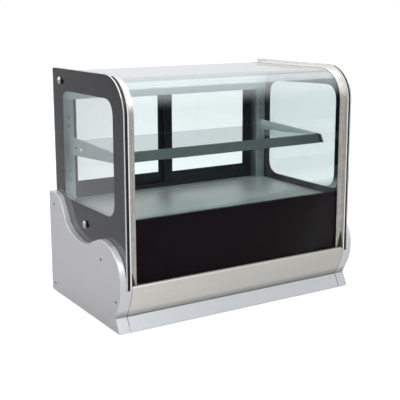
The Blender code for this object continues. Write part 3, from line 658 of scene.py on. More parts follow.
def make_side_unit(label, side):
    """Outer and inner pane, the printed border on the spacer, and the seal round the edge."""
    for layer, look in (("outer", "glass_edge"), ("inner", "inner_edge")):
        node = "side_pane_%s_%s" % (layer, label)
        # The upward faces of each pane's rim get the painted highlight.
        rim = [(look, lambda face: abs(face.normal.x) < 0.8),
               ("painted_highlight", lambda face: face.normal.z > 0.45)]
        pane = filled(node, unit_outline(node), "X", bevel=0.0005)
        add_piece("pane_%s_%s" % (layer, label), pane, "glass", [node], edges=rim)
    pane_node, spacer = "side_pane_outer_" + label, "side_spacer_" + label
    near, far = span(spacer)
    border = prism(unit_outline(pane_node, 0.0008), "X", *mirrored(side, far - PRINT, far),
                   holes=[eased_box(*WINDOW, WINDOW_CORNER, 16)])
    add_piece("border_print_" + label, border, "black_print", [spacer])
    seal = prism(unit_outline(pane_node, 0.001), "X", *mirrored(side, near, far - PRINT),
                 holes=[unit_outline(pane_node, SPACER_BAR)], bevel=0.0004, segments=1)
    # The seal's upward faces get the same painted highlight.
    add_piece("edge_seal_" + label, seal, "black_seal", slot="black_print",
              edges=[("painted_highlight", lambda face: face.normal.z > 0.97)])


def make_knob(place, label, side):
    """Chrome cap with a full dome on a short collar, and a rubber washer under it."""
    node = "glass_knob_%s_%s" % (place, label)
    low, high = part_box(node)
    _, y, z = middle(node)
    radius = (high.z - low.z) / 2
    foot, top = span(node)
    height = top - foot
    skirt = height * 0.52
    profile = [(0.0006, 0), (0.0006, radius * 0.66), (0.002, radius * 0.66),
               (0.0021, radius * 0.93), (0.0026, radius * 0.985), (0.0034, radius), (skirt, radius)]
    for angle in [math.radians(90 * step / 12) for step in range(1, 12)]:
        profile.append((skirt + (height - skirt) * math.sin(angle), radius * math.cos(angle)))
    profile.append((height, 0))
    # Painted reflection: the cap's upright side band and collar get the gloss black look, standing in for
    # the dark reflection on a chrome side.
    add_piece("knob_%s_%s" % (place, label), turned(profile, "X", (side * foot, y, z), out=side),
              "chrome", [node], sharp=50, edges=[("gloss_black", lambda face: abs(face.normal.x) < 0.2)])
    washer = eased_box((0.0, radius * 0.3), (0.001, radius * 0.78), 0.0003, 3)
    add_piece("knob_washer_%s_%s" % (place, label),
              ring(washer, "X", (side * (foot - 0.0002), y, z), out=side), "rubber")


# ---- bent front glass, trims, band ----
def glass_line(foot, rear, drop=0.0):
    """Outer line of the bent glass from its foot to its rear edge, moved outwards by drop."""
    low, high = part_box("front_glass")
    centre = (low.y + GLASS_BEND, high.z - GLASS_BEND)
    return ([(low.y - drop, foot)] + arc(centre, GLASS_BEND + drop, 180, 90, 40)
            + [(rear, high.z + drop)])


def make_front_glass():
    """Bent pane with ground edges, and the black band behind its foot."""
    low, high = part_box("front_glass")

    def is_edge(face):
        spot = face.calc_center_median()
        return abs(face.normal.x) > 0.6 or spot.y > high.y - 0.0012 or spot.z < low.z + 0.0012

    pane = filled("front_glass", strip(glass_line(low.z, high.y), GLASS_THICK), "X", bevel=0.0006)
    add_piece("bent_glass", pane, "front_glass", ["front_glass"], slot="glass",
              edges=[("glass_edge", is_edge)])
    band = filled("front_band", eased_box(*face_of("front_band", "X"), 0.0016, 5), "X",
                  bevel=0.001, segments=3)
    add_piece("lower_band", band, "black_band", ["front_band"], slot="black_print")


def make_trim(label, side):
    """Angle strip: one leg lies on the bent glass, the other stands against the side unit."""
    node = "front_trim_" + label
    inner, edge = span(node)
    low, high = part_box(node)
    near, far = GAP, GAP + TRIM_THICK
    fold = edge - TRIM_THICK
    profile = rounded([(inner, near), (edge, near), (edge, TRIM_LEG), (fold, TRIM_LEG),
                       (fold, far), (inner, far)], 0.0005, 3)
    lines = [[(side * x, *place) for place in glass_line(low.z, high.y, drop)] for x, drop in profile]
    add_piece("angle_trim_" + label, loft(list(zip(*lines))), "trim", [node], slot="stainless")
    front = low.y + TRIM_LEG - far
    corner = fold - 0.0002
    wedge = bmesh.new()
    for x, y, z in [(inner + 0.004, front, low.z), (corner, front, low.z),
                    (corner, low.y + 0.0002, low.z), (corner, front, low.z + 0.06)]:
        wedge.verts.new((side * x, y, z))
    bmesh.ops.convex_hull(wedge, input=wedge.verts)
    ease_edges(wedge, wedge.edges[:], 0.0006)
    add_piece("corner_seal_" + label, wedge, "black_seal", slot="rubber")


# ---- base ----
def nose_curve():
    """Front of the base from the crest of the cover down to the panel's foot."""
    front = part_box("side_cover_left")[0].y
    return [(-0.19, 0.265), (-0.236, 0.239), (-0.262, 0.205), (front, NOSE_MIDDLE),
            (-0.262, 0.106), (-0.231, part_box("front_panel")[0].z)]


def cover_outline(label):
    """Side cover in (y, z): wave top from the rear forwards, bulged nose, flared foot, rear."""
    _, rear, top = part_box("side_cover_" + label)[1]
    wave = [(0.204, top), (0.18, 0.346), (0.158, 0.319), (0.129, 0.275), (0.105, 0.254),
            (0.058, 0.237), (0.009, 0.229), (-0.045, 0.236), (-0.087, 0.255), (-0.138, 0.271)]
    return (smooth_curve(wave + nose_curve(), 10)
            + [(KNEE_Y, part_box("kick_plate")[1].z), (TOE_Y, FLOOR_CLEAR), (rear, FLOOR_CLEAR)]
            + arc((rear - 0.012, top - 0.012), 0.012, 0, 90, 8))


def make_side_cover(label, side):
    """Hollow moulding with a rolled rim, cut away round the glazed unit, and its screws."""
    node, pane_node = "side_cover_" + label, "side_pane_outer_" + label
    inner, outer = span(node)
    outline = cover_outline(label)
    shell = filled(node, outline, "X")
    rim = [edge for edge in shell.edges if all(abs(corner.co.x) > outer - 1e-4 for corner in edge.verts)
           and edge.calc_face_angle(0) > 1.0]
    ease_edges(shell, rim, COVER_RIM, 4, False)
    shell = carved(shell, prism(offset(outline, -COVER_WALL), "X",
                                *mirrored(side, inner - 0.01, outer - COVER_WALL)))
    unit_low, unit_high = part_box(pane_node)
    near, far = mirrored(side, inner - 0.01, span(pane_node)[1] + GAP)
    shell = carved(shell, block((near, unit_low.y - 0.01, unit_low.z - GAP),
                                (far, unit_high.y + 0.06, unit_high.z)))
    bore = [(-0.006, 0), (-0.006, 0.0026), (-0.0016, 0.0026), (-0.0016, 0.0054),
            (-0.0004, 0.0056), (0.002, 0.007), (0.002, 0)]
    bores = [turned(bore, "X", (side * outer, y, z), 32, side) for y, z in COVER_SCREWS]
    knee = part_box("kick_plate")[1].z

    # Painted light: the cover is one silver moulding, but its front-facing faces take the lighter nose
    # look and those below the knee take the kick's pale look, as lit copies of its paint.
    def on_nose(face):
        return face.normal.y < -0.3 and face.calc_center_median().y < -0.2

    def on_flare(face):
        return on_nose(face) and face.calc_center_median().z < knee

    add_piece("cover_shell_" + label, carved(shell, joined(*bores)), "silver", [node],
              edges=[("nose", on_nose), ("pale_metal", on_flare)])
    for index, (y, z) in enumerate(COVER_SCREWS, 1):
        head = screw_head((side * (outer - 0.0015), y, z), "X", side, 0.0048, 0.0013)
        add_piece("cover_screw_head_%s_%d" % (label, index), head, "dark_steel",
                  ["cover_screw_%s_%d" % (label, index)], sharp=40)


def make_front_sheets():
    """Bulged panel and flared kick plate, each one bent sheet between the side covers."""
    low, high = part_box("front_panel")
    curve = [pair for pair in smooth_curve(nose_curve(), 16) if pair[1] < high.z - 0.005]
    panel = [(-0.259, high.z)] + bend((-0.264, high.z), (-0.2688, high.z), curve[0])
    panel += curve[1:-2] + bend(curve[-2], curve[-1], (curve[-1][0] + 0.003, low.z))
    panel.append((SKIRT_BACK, low.z))
    low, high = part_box("kick_plate")
    kick = [(SKIRT_BACK, high.z)] + bend((KNEE_Y + 0.002, high.z), (KNEE_Y, high.z),
                                         (KNEE_Y - 0.001, high.z - 0.002))
    kick.append((TOE_Y, low.z + 0.0007))
    for name, node, line, look, slot in (("bulged_panel", "front_panel", panel, "panel", "stainless"),
                                         ("kick_sheet", "kick_plate", kick, "pale_metal", "pale_metal")):
        sheet = filled(node, strip(line, -SHEET), "X", SEAM, bevel=0.0003, segments=1)
        add_piece(name, sheet, look, [node], slot=slot)


def make_feet():
    """Four turned rubber feet with a hollow sole."""
    for node in ["foot_%s_%s" % (row, label) for row in ("front", "rear") for label, _ in SIDES]:
        low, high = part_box(node)
        x, y, _ = middle(node)
        top = high.z
        profile = [(0.0014, 0), (0.0014, 0.008), (0, 0.0095), (0, 0.015), (0.0006, 0.0165),
                   (0.002, 0.0175), (0.0034, 0.0172), (0.0042, 0.0166), (0.005, 0.0169),
                   (top - 0.0012, 0.0154), (top, 0.0146), (top, 0)]
        add_piece("rubber_" + node, turned(profile, "Z", (x, y, low.z)), "rubber", [node], sharp=50)


def make_deck():
    """Folded deck sheet with two rows of air slots, each with a rolled lip."""
    low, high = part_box("deck_plate")
    skin = Vector((DECK_SHEET, DECK_SHEET, DECK_SHEET))
    hollow = block((low.x + DECK_SHEET, low.y + DECK_SHEET, low.z - 0.01), high - skin)
    deck = carved(block(low, high, bevel=0.0022, segments=4), hollow)
    half, lip = DECK_SLOT, 0.0012
    slots = []
    for row_y in DECK_SLOT_ROWS:
        for column in range(9):
            centre = ((column - 4) * DECK_SLOT_PITCH, row_y)
            slot = eased_box(*around(centre, half), 0.0029)
            rolled = eased_box(*around(centre, (half[0] + lip, half[1] + lip)), 0.0041)
            slots.append(loft([[(*pair, high.z + rise) for pair in outline] for outline, rise in (
                    (slot, -0.01), (slot, -0.0009), (rolled, 0.0003))]))
    add_piece("deck_sheet", carved(deck, joined(*slots)), "stainless", ["deck_plate"])


# ---- rear frame and doors ----
def make_lamp():
    """Ribbed cover of the lamp under the header, with a cap on each end."""
    low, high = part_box("lamp_lens")
    back, centre_z = high.y, (low.z + high.z) / 2
    bulge = ([(back, low.z)] + arc((back - 0.0042, centre_z), 0.006, 250, 110, 24) + [(back, high.z)])
    add_piece("lamp_cover", filled("lamp_lens", bulge, "X", LAMP_CAP), "lens", ["lamp_lens"])
    for label, side in SIDES:
        cap = prism(bulge, "X", *mirrored(side, high.x - LAMP_CAP + GAP, high.x), bevel=0.0008)
        add_piece("lamp_end_cap_" + label, cap, "pale_plastic")


def frame_rings(outer, inner, profile):
    """Rings of a picture frame in X-Z. profile pairs: share of the way inwards, and y."""
    return [[(x + share * (inner_x - x), y, z + share * (inner_z - z)) for share, y in profile]
            for (x, z), (inner_x, inner_z) in zip(outer, inner)]


def mitred_frame(outer, inner, profile, gap=0.00012):
    """Four bars that meet at mitres with a hairline between them."""
    rings = frame_rings(outer, inner, profile)
    bars = []
    for first, second in zip(rings, rings[1:] + rings[:1]):
        along = (Vector(second[0]) - Vector(first[0])).normalized() * gap
        bars.append(loft([[Vector(point) + along for point in first],
                          [Vector(point) - along for point in second]]))
    return joined(*bars)


def make_door(label, side):
    """Mitred frame with a grip, a gasket on each face of the pane, and the pane."""
    node, pane_node, body = "door_frame_" + label, "door_glass_" + label, "door_" + label
    low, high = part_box(node)
    front, rear = low.y, low.y + DOOR_THICK
    hole = ((low.x + STILE, DOOR_HOLE_Z[0]), (high.x - STILE, DOOR_HOLE_Z[1]))
    half = [(0.0, 0.0008), (0.03, 0.0), (0.8, 0.0), (0.835, 0.0008), (1.0, 0.0008),
            (1.0, 0.0033), (0.84, 0.0033)]
    profile = [(share, front + depth) for share, depth in half]
    profile += [(share, rear - depth) for share, depth in half[::-1]]
    bars = mitred_frame(rectangle(*face_of(node, "Y")), rectangle(*hole), profile)
    grip_x = low.x + GRIP_INSET if side < 0 else high.x - GRIP_INSET
    back = rear - 0.0002
    right = [(0.0055, back), (0.0055, high.y), (0.0038, high.y), (0.0026, back + 0.0016)]
    pull = [(grip_x + x, y) for x, y in right] + [(grip_x - x, y) for x, y in right[::-1]]
    grip = prism(rounded(pull, 0.0005, 3), "Z", *GRIP_Z, bevel=0.0004)
    add_piece("door_bars_" + label, joined(bars, grip), "dark_metal", [node], body)
    for place, face, inwards in (("front", front, 1), ("rear", rear, -1)):
        start, end = face + inwards * 0.0012, face + inwards * 0.004
        lip = [(0.0, start), (0.45, start), (1.0, end), (0.0, end)]
        gasket = loft(frame_rings(rectangle(*hole), rectangle(*hole, GASKET), lip), closed=True)
        add_piece("door_gasket_%s_%s" % (place, label), gasket, "rubber", body=body)
    add_piece("door_pane_" + label, block(*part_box(pane_node), bevel=0.0004, segments=1), "glass",
              [pane_node], body, edges=[("glass_edge", lambda face: abs(face.normal.y) < 0.8)])


# ---- shelf ----
def make_shelf():
    """Glass, its front rail with a groove for it, and the two brackets."""
    low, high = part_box("shelf_glass")
    add_piece("shelf_pane", block(low, high, bevel=0.0012, segments=3), "glass", ["shelf_glass"],
              edges=[("shelf_edge", lambda face: abs(face.normal.z) < 0.8)])
    under, over = low.z - 0.0007, high.z + 0.0007
    rail_low, rail_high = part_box("shelf_front_rail")
    rail = [(RAIL_FACE, rail_high.z), (rail_low.y, 0.506), (-0.165, rail_low.z),
            (RAIL_FACE, RAIL_SHOULDER), (RAIL_REAR, RAIL_SHOULDER), (RAIL_REAR, under),
            (RAIL_GROOVE, under), (RAIL_GROOVE, over), (RAIL_REAR, over), (RAIL_REAR, rail_high.z)]
    shape = filled("shelf_front_rail", rounded(rail, 0.0007, 4), "X", bevel=0.0004)
    add_piece("shelf_rail", shape, "dark_plastic", ["shelf_front_rail"])
    for label, side in SIDES:
        make_bracket(label, side, low.z)


def make_bracket(label, side, under):
    """Tapered arm that hooks into the post's slots, with a ledge under the glass."""
    node = "shelf_bracket_" + label
    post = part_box("rear_post_" + label)[0].y
    tip, outer = span(node)
    inner = outer - ARM_THICK
    arm = [(-0.176, 0.506), (post - 0.0005, 0.484), (post - 0.0005, 0.549), (-0.16, 0.534)]
    holes = [eased_box(*around((y, 0.512), (0.01, 0.004)), 0.0039) for y in (0.1, 0.14)]
    plate = prism(rounded(arm, 0.004), "X", *mirrored(side, inner, outer), holes=holes, bevel=0.0004)
    near, far = mirrored(side, tip, inner + 0.0004)
    ledge = prism(eased_box((near, under - 0.0033), (far, under - 0.0005), 0.001, 3), "Y",
                  -0.135, 0.178, bevel=0.0005)
    near, far = mirrored(side, inner, outer)
    hooks = [block((near, post - 0.003, z - 0.005), (far, post + 0.005, z + 0.005), bevel=0.0006)
             for z in ARM_HOOKS_Z]
    add_piece("shelf_arm_" + label, joined(plate, ledge, *hooks), "arm_paint", [node], slot="stainless")
    nose = [(-0.1755, 0.5065), (-0.133, 0.503), (-0.133, 0.536), (-0.1598, 0.5335)]
    pad = prism(rounded(nose, 0.002, 4), "X", *mirrored(side, inner - 0.0012, inner - 0.0001),
                bevel=0.0004)
    add_piece("shelf_arm_pad_" + label, pad, "dark_plastic")


# ---- rear of the machine space ----
def louvre_hood(x, z, face):
    """Pressed hood over one slot: closed at the top and ends, open at the bottom."""
    columns, rows = 28, 7
    rings = []
    for column in range(columns):
        u = 2 * column / (columns - 1) - 1
        end = max(0.0, 1 - abs(u) ** 14) ** 0.5
        line = [(x + u * HOOD_HALF, face + HOOD_PROUD * end * math.sin(v * math.pi / 2),
                 z + HOOD_DROP / 2 - v * HOOD_DROP) for v in (row / (rows - 1) for row in range(rows))]
        rings.append([(across, y + HOOD_THICK, up) for across, y, up in line] + line[::-1])
    return loft(rings)


def make_rear_panel():
    """Louvred sheet round the tray's mouth, the controls and the gland, and its screws."""
    low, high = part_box("rear_panel")
    tray_low, tray_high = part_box("drain_tray")
    left, right, top = tray_low.x - 0.002, tray_high.x + 0.002, tray_high.z + 0.002
    outline = [(low.x, low.z), (left, low.z), (left, top), (right, top), (right, low.z),
               (high.x, low.z), (high.x, high.z), (low.x, high.z)]
    centres = [(x, LOUVRE_Z + row * LOUVRE_PITCH) for x in LOUVRE_X for row in range(9)]
    holes = [eased_box(*around(centre, LOUVRE_SLOT), 0.0034, 5) for centre in centres]
    holes.append(eased_box(*face_of("control_panel", "Y"), 0.002, inset=0.0065))
    x, _, z = middle("cord_gland")
    holes.append(circle((x, z), 0.0105, 24))
    hoods = [louvre_hood(*centre, high.y - 0.0003) for centre in centres]
    add_piece("louvred_panel", joined(filled("rear_panel", outline, "Y", holes=holes), *hoods),
              "galvanised", ["rear_panel"])
    spots = [(x, z) for x in (-0.398, 0.398) for z in (0.03, 0.155, 0.286)]
    spots += [(-0.118, 0.286), (0.118, 0.286), (-0.118, 0.03), (0.16, 0.03)]
    heads = [screw_head((x, high.y, z), "Y", 1, 0.004, 0.0016) for x, z in spots]
    add_piece("rear_panel_screws", joined(*heads), "chrome", sharp=40)


def make_gland(face):
    """Hexagonal nut with a fluted dome and an open bore."""
    low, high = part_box("cord_gland")
    x, _, z = middle("cord_gland")
    axis = (x, 0, z)
    nut = prism(rounded(circle((x, z), 0.015, 6), 0.0012, 3), "Y", face + 0.0004,
                face + 0.0034, holes=[circle((x, z), 0.009, 36)], bevel=0.0003)
    neck = ring([(low.y, 0.0048), (low.y, 0.0098), (face + 0.003, 0.0098),
                 (face + 0.003, 0.0048)], "Y", axis)
    dome = [(face + 0.0034, 0.0048), (face + 0.0034, 0.0132), (face + 0.0042, 0.0136),
            (face + 0.0058, 0.0132), (face + 0.0082, 0.011), (high.y - 0.0008, 0.0088),
            (high.y, 0.0078), (high.y, 0.0056), (high.y - 0.0007, 0.0048)]
    cap = ring(dome, "Y", axis, 72)
    for corner in cap.verts:
        radial = Vector((corner.co.x - x, 0, corner.co.z - z))
        if radial.length > 0.0105:
            flute = math.cos(18 * math.atan2(radial.z, radial.x))
            corner.co += radial.normalized() * 0.00035 * (flute - 1)
    add_piece("gland_nut", joined(nut, neck, cap), "dark_plastic", ["cord_gland"], sharp=40)


def make_controls():
    """Fascia with its wells, the display, the lights, the keys and the rockers."""
    low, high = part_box("control_panel")
    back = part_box("rear_panel")[1].y + GAP
    face = high.y
    plate = prism(eased_box(*face_of("control_panel", "Y"), 0.004), "Y", back, face,
                  bevel=0.0008, segments=3)
    tub = block((low.x + 0.0072, low.y, low.z + 0.0072), (high.x - 0.0072, back + 0.001, high.z - 0.0072))
    wells = []
    for x, _, z in [middle(node) for node, _ in ROCKERS]:
        wells.append((rectangle((x - 0.0065, z - 0.0096), (x + 0.0065, z + 0.0094)), 0.0008, 0.0108))
    wells += [(rectangle(*face_of(node, "Y"), -0.0005), 0.0008, 0.006) for node, _ in KEYS]
    wells.append((rectangle(*SCREEN), 0.0015, 0.001))
    cuts = [prism(rounded(outline, radius), "Y", face - depth, face + 0.01)
            for outline, radius, depth in wells]
    cuts += [turned([(-0.0015, 0), (-0.0015, 0.0015), (0.01, 0.0015), (0.01, 0)], "Y",
                    (x, face, LIGHTS_Z), 24) for x in LIGHTS_X]
    add_piece("control_fascia", carved(carved(plate, tub, "UNION"), joined(*cuts)),
              "dark_plastic", ["control_panel"])
    window = prism(eased_box(*SCREEN, 0.0013, inset=0.0002), "Y", face - 0.0009,
                   face - 0.0002, bevel=0.0002)
    add_piece("display_window", window, "gloss_black")
    lights = [turned([(-0.0014, 0), (-0.0014, 0.0014), (-0.0002, 0.0014), (0.0002, 0.0009),
                      (0.0003, 0)], "Y", (x, face, LIGHTS_Z), 20) for x in LIGHTS_X]
    add_piece("indicator_lenses", joined(*lights), "lens_off", slot="lens")
    for node, body in KEYS:
        cap = filled(node, eased_box(*face_of(node, "Y"), 0.0009), "Y", bevel=0.0005, segments=3)
        add_piece("key_cap_" + node.split("_")[0], cap, "grey_plastic", [node], body)
    for node, body in ROCKERS:
        make_rocker(node, body, face - 0.001)


def make_rocker(node, body, axis_y):
    """Half-round body with a shallow V face, tipped to one side of its travel."""
    radius, rise = ROCKER_RADIUS, 0.0018
    shape = arc((0, 0), radius, 180, 360, 28)
    shape += [(radius, rise - 0.0004), (radius * 0.94, rise), (0.0008, rise + 0.00108),
              (-0.0008, rise + 0.00108), (-radius * 0.94, rise), (-radius, rise - 0.0004)]
    level, tip = math.cos(ROCKER_TILT), math.sin(ROCKER_TILT)
    points = [(axis_y + out * level - across * tip, ROCKER_Z + across * level + out * tip)
              for across, out in shape]
    add_piece("rocker_" + node.split("_")[0],
              filled(node, points, "X", bevel=0.0004, corner=15), "gloss_black", [node], body)


# ---- machine ----
def make_tray():
    """Open tray with a finger notch in its rear wall."""
    low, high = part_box("drain_tray")
    foot = face_of("drain_tray", "Z")
    body = filled("drain_tray", eased_box(*foot, 0.006, 8), "Z", bevel=0.001, segments=3)
    inside = prism(eased_box(*foot, 0.004, 8, TRAY_WALL), "Z", low.z + 0.002, high.z + 0.02)
    x = middle("drain_tray")[0]
    notch = prism(eased_box((x - 0.03, high.z - 0.01), (x + 0.03, high.z + 0.02), 0.006), "Y",
                  high.y - TRAY_WALL - 0.001, high.y + 0.01)
    add_piece("melt_water_tray", carved(carved(body, inside), notch), "pale_plastic",
              ["drain_tray"], "tray")


def make_fan(node, body, centre, axis, hub, reach, motor_side):
    """Cup-shaped hub and five swept blades with an even skin."""
    low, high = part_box(node)
    depth = high["XYZ".index(axis)] - low["XYZ".index(axis)]
    rear, front = -depth / 2, depth / 2
    cup = [(rear, 0), (rear, hub * 0.8), (rear + 0.001, hub * 0.9), (rear + 0.003, hub),
           (front, hub), (front, hub * 0.86), (rear + 0.005, hub * 0.8),
           (rear + 0.005, 0.0075), (front - 0.004, 0.0065), (front - 0.004, 0.0033),
           (rear + 0.006, 0.0033), (rear + 0.006, 0)]
    shapes = [turned(cup, axis, centre, out=motor_side)]
    root = hub - 0.0015
    for start in turns(5):
        rings = []
        for share in [station / 8 for station in range(9)]:
            radius = root + (reach - root) * share
            sweep = start + 0.3 * share ** 1.5
            pitch = math.radians(38 - 14 * share)
            chord = min(reach * 0.55, 0.045) * (0.56 + 0.16 * math.sin(math.pi * share))
            thick = 0.0011 - 0.0004 * share
            section = []
            for turn in turns(14):
                flat = chord / 2 * math.cos(turn)
                lift = thick * math.sin(turn) + 0.0016 * (1 - math.cos(turn) ** 2)
                along = flat * math.sin(pitch) + lift * math.cos(pitch)
                across = flat * math.cos(pitch) - lift * math.sin(pitch)
                along = max(-depth * 0.48, min(depth * 0.48, along))
                section.append(round_axis(axis, centre, along, radius, sweep + across / radius))
            rings.append(section)
        shapes.append(loft(rings))
    add_piece("rotor_" + node, joined(*shapes), "dark_plastic", [node], body, sharp=45)


def make_pipe(name, points, radius):
    """Round copper pipe along a smooth line through the points."""
    path = [Vector(point) for point in smooth_curve(points, 8)]
    rings = []
    side = Vector((0, 0, 1))
    for index, here in enumerate(path):
        ahead = (path[min(index + 1, len(path) - 1)] - path[max(index - 1, 0)]).normalized()
        side = (side - ahead * side.dot(ahead)).normalized()
        across = ahead.cross(side)
        rings.append([here + (side * math.cos(turn) + across * math.sin(turn)) * radius
                      for turn in turns(16)])
    add_piece(name, loft(rings), "copper", slot="dark_steel", sharp=50)


def tube_bend(start, out, low, high, y, radius=0.003):
    """Half-round return bend outside an end sheet, from height low to height high."""
    centre_z, half = (low + high) / 2, (high - low) / 2
    rings = []
    for turn in [math.pi * step / 10 for step in range(11)]:
        across = Vector((out * math.sin(turn), 0, -math.cos(turn)))
        here = Vector((start + out * 0.0072 * math.sin(turn), y, centre_z - half * math.cos(turn)))
        rings.append([here + (across * math.cos(angle) + Vector((0, math.sin(angle), 0))) * radius
                      for angle in turns(12)])
    return loft(rings)


def make_coil(node, low, high, pitch, columns, rows):
    """Fin-and-tube coil: thin upright plates between folded end sheets, bends outside."""
    first, last = low[0] + 0.011, high[0] - 0.011
    skin, front, rear = 0.0012, low[1], high[1]
    fins = [block((x, front + 0.002, low[2] + 0.0014), (x + 0.0004, rear - 0.002, high[2] - 0.0014))
            for x in (first + 0.002 + pitch * index
                      for index in range(int((last - first - 0.004) / pitch)))]
    add_piece(node + "_fins", joined(*fins), "aluminium", [node])
    sheets, bends = [], []
    step = (high[2] - low[2]) / rows
    for x, out in ((first, -1), (last, 1)):
        fold, inside = x + out * 0.007, x + out * skin
        channel = [(x, front), (x, rear), (fold, rear), (fold, rear - skin), (inside, rear - skin),
                   (inside, front + skin), (fold, front + skin), (fold, front)]
        sheets.append(prism(channel, "Z", low[2], high[2], bevel=0.0003, segments=1))
        for column in range(columns):
            y = front + (rear - front) * (column + 0.5) / columns
            for row in range(0 if out > 0 else 1, rows - 1, 2):
                foot = low[2] + step * (row + 0.5)
                bends.append(tube_bend(x + out * 0.0008, out, foot, foot + step, y))
    for z in (low[2], high[2] - 0.001):
        sheets.append(block((first, front, z), (last, rear, z + 0.001), bevel=0.0003))
    add_piece(node + "_frame", joined(*sheets), "galvanised", slot="aluminium")
    add_piece(node + "_bends", joined(*bends), "copper", slot="aluminium", sharp=50)


def make_condenser():
    """Coil with the fan's shroud and motor on its front face."""
    low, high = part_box("condenser")
    face = high.y - 0.058
    make_coil("condenser", (low.x, face, low.z), high, 0.0034, 2, 8)
    x, y, z = CONDENSER_FAN
    can = [(-0.004, 0), (-0.004, 0.0028), (0.0125, 0.0028), (0.0125, 0.019), (0.0132, 0.0213),
           (0.015, 0.022), (0.029, 0.022), (0.0305, 0.0205), (0.0305, 0)]
    arms = [block((x - half_x, face - near, z - half_z), (x + half_x, face - far, z + half_z),
                  bevel=0.0003) for half_x, half_z, near, far in ((0.088, 0.005, 0.0026, 0.0012),
                                                                  (0.005, 0.088, 0.0044, 0.003))]
    add_piece("condenser_motor", joined(turned(can, "Y", (x, y, z)), *arms), "black_metal",
              slot="aluminium", sharp=40)
    opening = 0.0838
    plate = prism(eased_box((low.x + 0.004, low.z), (high.x - 0.004, high.z), 0.004), "Y",
                  face - 0.001, face - 0.0002, holes=[circle((x, z), opening, 64)])
    lip = [(-0.031, opening), (-0.031, opening + 0.0008), (-0.001, opening + 0.0008), (-0.001, opening)]
    add_piece("condenser_shroud", joined(plate, ring(lip, "Y", (x, face, z), 64)),
              "black_metal", slot="aluminium")


def make_tub():
    """Moulded tub under the deck, with the fan's post and a drain spout."""
    low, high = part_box("evaporator_housing")
    foot, wall = low.z + 0.026, 0.003
    outside = face_of("evaporator_housing", "Z")
    inside = eased_box(*outside, 0.009, 8, wall)
    x, y, z = EVAPORATOR_FAN
    post = [(foot + 0.002 - z, 0), (foot + 0.002 - z, 0.0175), (foot + 0.008 - z, 0.016),
            (-0.0115, 0.0155), (-0.0105, 0.0145), (-0.0105, 0.003), (0.0022, 0.0028), (0.0022, 0)]
    spout = [(-0.026, 0.006), (-0.026, 0.0086), (-0.0255, 0.009), (0.0, 0.009), (0.0, 0.006)]
    add_piece("evaporator_tub", joined(
            prism(eased_box(*outside, 0.012, 8), "Z", foot, high.z, holes=[inside], bevel=0.0008),
            prism(inside, "Z", foot, foot + wall, holes=[circle((0, DRAIN_Y), 0.006, 32)]),
            ring(spout, "Z", (0, DRAIN_Y, foot)), turned(post, "Z", (x, y, z))),
              "pale_plastic", ["evaporator_housing"])


def make_compressor():
    """Hermetic shell on a base plate with grommets, its terminal box and two pipes."""
    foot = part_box("compressor")[0].z
    x, y = COMPRESSOR_X, middle("compressor")[1]
    shell = smooth_curve([(0.008, 0.058), (0.02, 0.071), (0.06, 0.0745), (0.094, 0.0748)], 8)
    shell += [(0.0945, 0.0778), (0.1005, 0.0778), (0.101, 0.0745)]
    shell += smooth_curve([(0.118, 0.0735), (0.146, 0.064), (0.163, 0.042), (0.1725, 0.014),
                           (0.1738, 0.0)], 8)
    plate = prism(eased_box(*around((x, y), (0.095, 0.06)), 0.012), "Z", foot + 0.002,
                  foot + 0.006, bevel=0.0008)
    box = prism(eased_box(*around((y, foot + 0.073), (0.024, 0.023)), 0.005), "X", x + 0.06,
                x + 0.094, bevel=0.002, segments=3)
    body = turned([(0.006, 0)] + shell, "Z", (x, y, foot), 64)
    add_piece("compressor_shell", joined(body, plate, box), "black_metal", ["compressor"], sharp=40)
    grommet = [(-0.0015, 0), (-0.0015, 0.008), (0.008, 0.0085), (0.012, 0.006), (0.012, 0)]
    grommets = [turned(grommet, "Z", (x + across, y + along, foot + 0.0005), 24)
                for across in (-0.082, 0.082) for along in (-0.048, 0.048)]
    add_piece("compressor_grommets", joined(*grommets), "rubber", sharp=50)
    make_pipe("discharge_pipe", [(x - 0.07, y, foot + 0.12), (x - 0.11, y + 0.002, foot + 0.128),
                                 (0.06, 0.11, 0.17), (-0.02, 0.16, 0.195), (-0.07, 0.205, 0.2),
                                 (-0.095, 0.215, 0.198)], 0.0035)
    make_pipe("suction_pipe", [(x - 0.055, y - 0.045, foot + 0.13), (x - 0.085, y - 0.07, 0.165),
                               (x - 0.09, y - 0.06, 0.195), (0.12, 0.02, 0.209)], 0.0045)


make_camera()
for side_label, side_sign in SIDES:
    make_side_unit(side_label, side_sign)
    make_side_cover(side_label, side_sign)
    make_trim(side_label, side_sign)
    make_knob("top", side_label, side_sign)
    make_knob("low", side_label, side_sign)
    make_door(side_label, side_sign)
make_front_glass()
make_front_sheets()
make_feet()
make_deck()
make_lamp()
make_shelf()
make_rear_panel()
make_gland(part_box("rear_panel")[1].y)
make_controls()
make_tray()
make_fan("condenser_fan", "condenser_rotor", CONDENSER_FAN, "Y", 0.024, 0.08, 1)
make_fan("evaporator_fan", "evaporator_rotor", EVAPORATOR_FAN, "Z", 0.02, 0.055, -1)
make_compressor()
make_condenser()
make_tub()
make_coil("evaporator", *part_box("evaporator"), 0.0046, 6, 3)


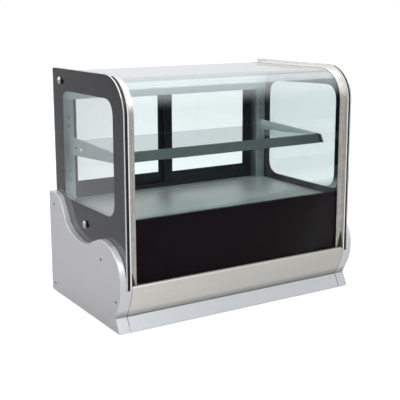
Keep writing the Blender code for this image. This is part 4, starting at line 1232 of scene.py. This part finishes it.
# ---- stage ----
def make_stage():
    """Pale floor that is white to the eye; where glossy faces mirror it, it shows a painted reflection,
    warm, dim and darker towards the front.
    """
    bm = bmesh.new()
    bmesh.ops.create_circle(bm, cap_ends=True, segments=96, radius=14.0)
    floor = put_in_scene("floor", to_mesh("floor", bm))
    tree = new_material("pale_floor")
    cloud = tree.ramp(tree.noise(0.8, detail=3.0))
    tree.feed(Base_Color=tree.blend(cloud, (0.9, 0.9, 0.905), (0.93, 0.93, 0.93)),
              Roughness=0.9, Specular_IOR_Level=0.0, Emission_Color=(1.0, 1.0, 1.0),
              Emission_Strength=0.42)
    # Painted reflection: what glossy faces see of the floor is a dim colour that goes from grey near the
    # case to a warm dark towards the front.
    forwards = tree.add("VectorMath", {0: tree.place(), 1: (0.2, -0.98, 0.0)},
                        operation="DOT_PRODUCT")["Value"]
    near = tree.blend(tree.ramp(forwards, 0.0, 1.0, -0.2, 0.5), (0.36, 0.36, 0.37), (0.12, 0.115, 0.11))
    far = tree.blend(tree.ramp(forwards, 0.0, 1.0, 1.2, 2.4), near, (0.05, 0.045, 0.045))
    mirrored_once = tree.calculate("MINIMUM", tree.add("LightPath")["Glossy Depth"], 1.0)
    tree.show(mirrored_once, tree.shader.outputs[0], tree.add("BsdfDiffuse", {"Color": far})[0])
    floor.data.materials.append(tree.owner)


def add_lamp(name, place, aim, size, power):
    lamp = put_in_scene(name, bpy.data.lights.new(name, "AREA"))
    lamp.data.shape = "RECTANGLE"
    lamp.data.size, lamp.data.size_y = size
    lamp.data.energy = power
    lamp.location = place
    lamp.rotation_euler = (Vector(aim) - Vector(place)).to_track_quat("-Z", "Y").to_euler()
    lamp.visible_camera = False


def make_lights():
    """White backdrop; what faces and mirrors receive is bright from above and the rear."""
    world = bpy.data.worlds.new("studio")
    bpy.context.scene.world = world
    sky = Tree(world)
    upwards = sky.add("VectorMath", {0: sky.add("TexCoord")["Generated"], 1: (0.0, 0.3, 0.95)},
                      operation="DOT_PRODUCT")["Value"]
    share = sky.ramp(upwards, 0.03, 1.0, -0.3, 0.45, interpolation_type="SMOOTHSTEP")
    path = sky.add("LightPath")
    bounces = sky.calculate("ADD", path["Glossy Depth"], path["Diffuse Depth"])
    indirect = sky.calculate("MINIMUM", bounces, 1.0)
    back = sky.nodes["Background"].inputs
    sky.put(back["Strength"], sky.add("Mix", {0: indirect, 2: 1.0, 3: share})[0])
    sky.put(back["Color"], (1.0, 1.0, 1.0))
    add_lamp("key_lamp", (-0.4, -3.0, 2.6), (0, 0, 0.3), (2.4, 2.4), 46)
    add_lamp("front_lamp", (0.6, -3.4, 3.2), (0, 0, 0.2), (1.6, 1.2), 25)
    add_lamp("top_lamp", (0, 0.4, 3.2), (0, 0, 0), (6.4, 1.8), 25)


make_stage()
make_lights()
bpy.context.scene.view_settings.view_transform = "Standard"
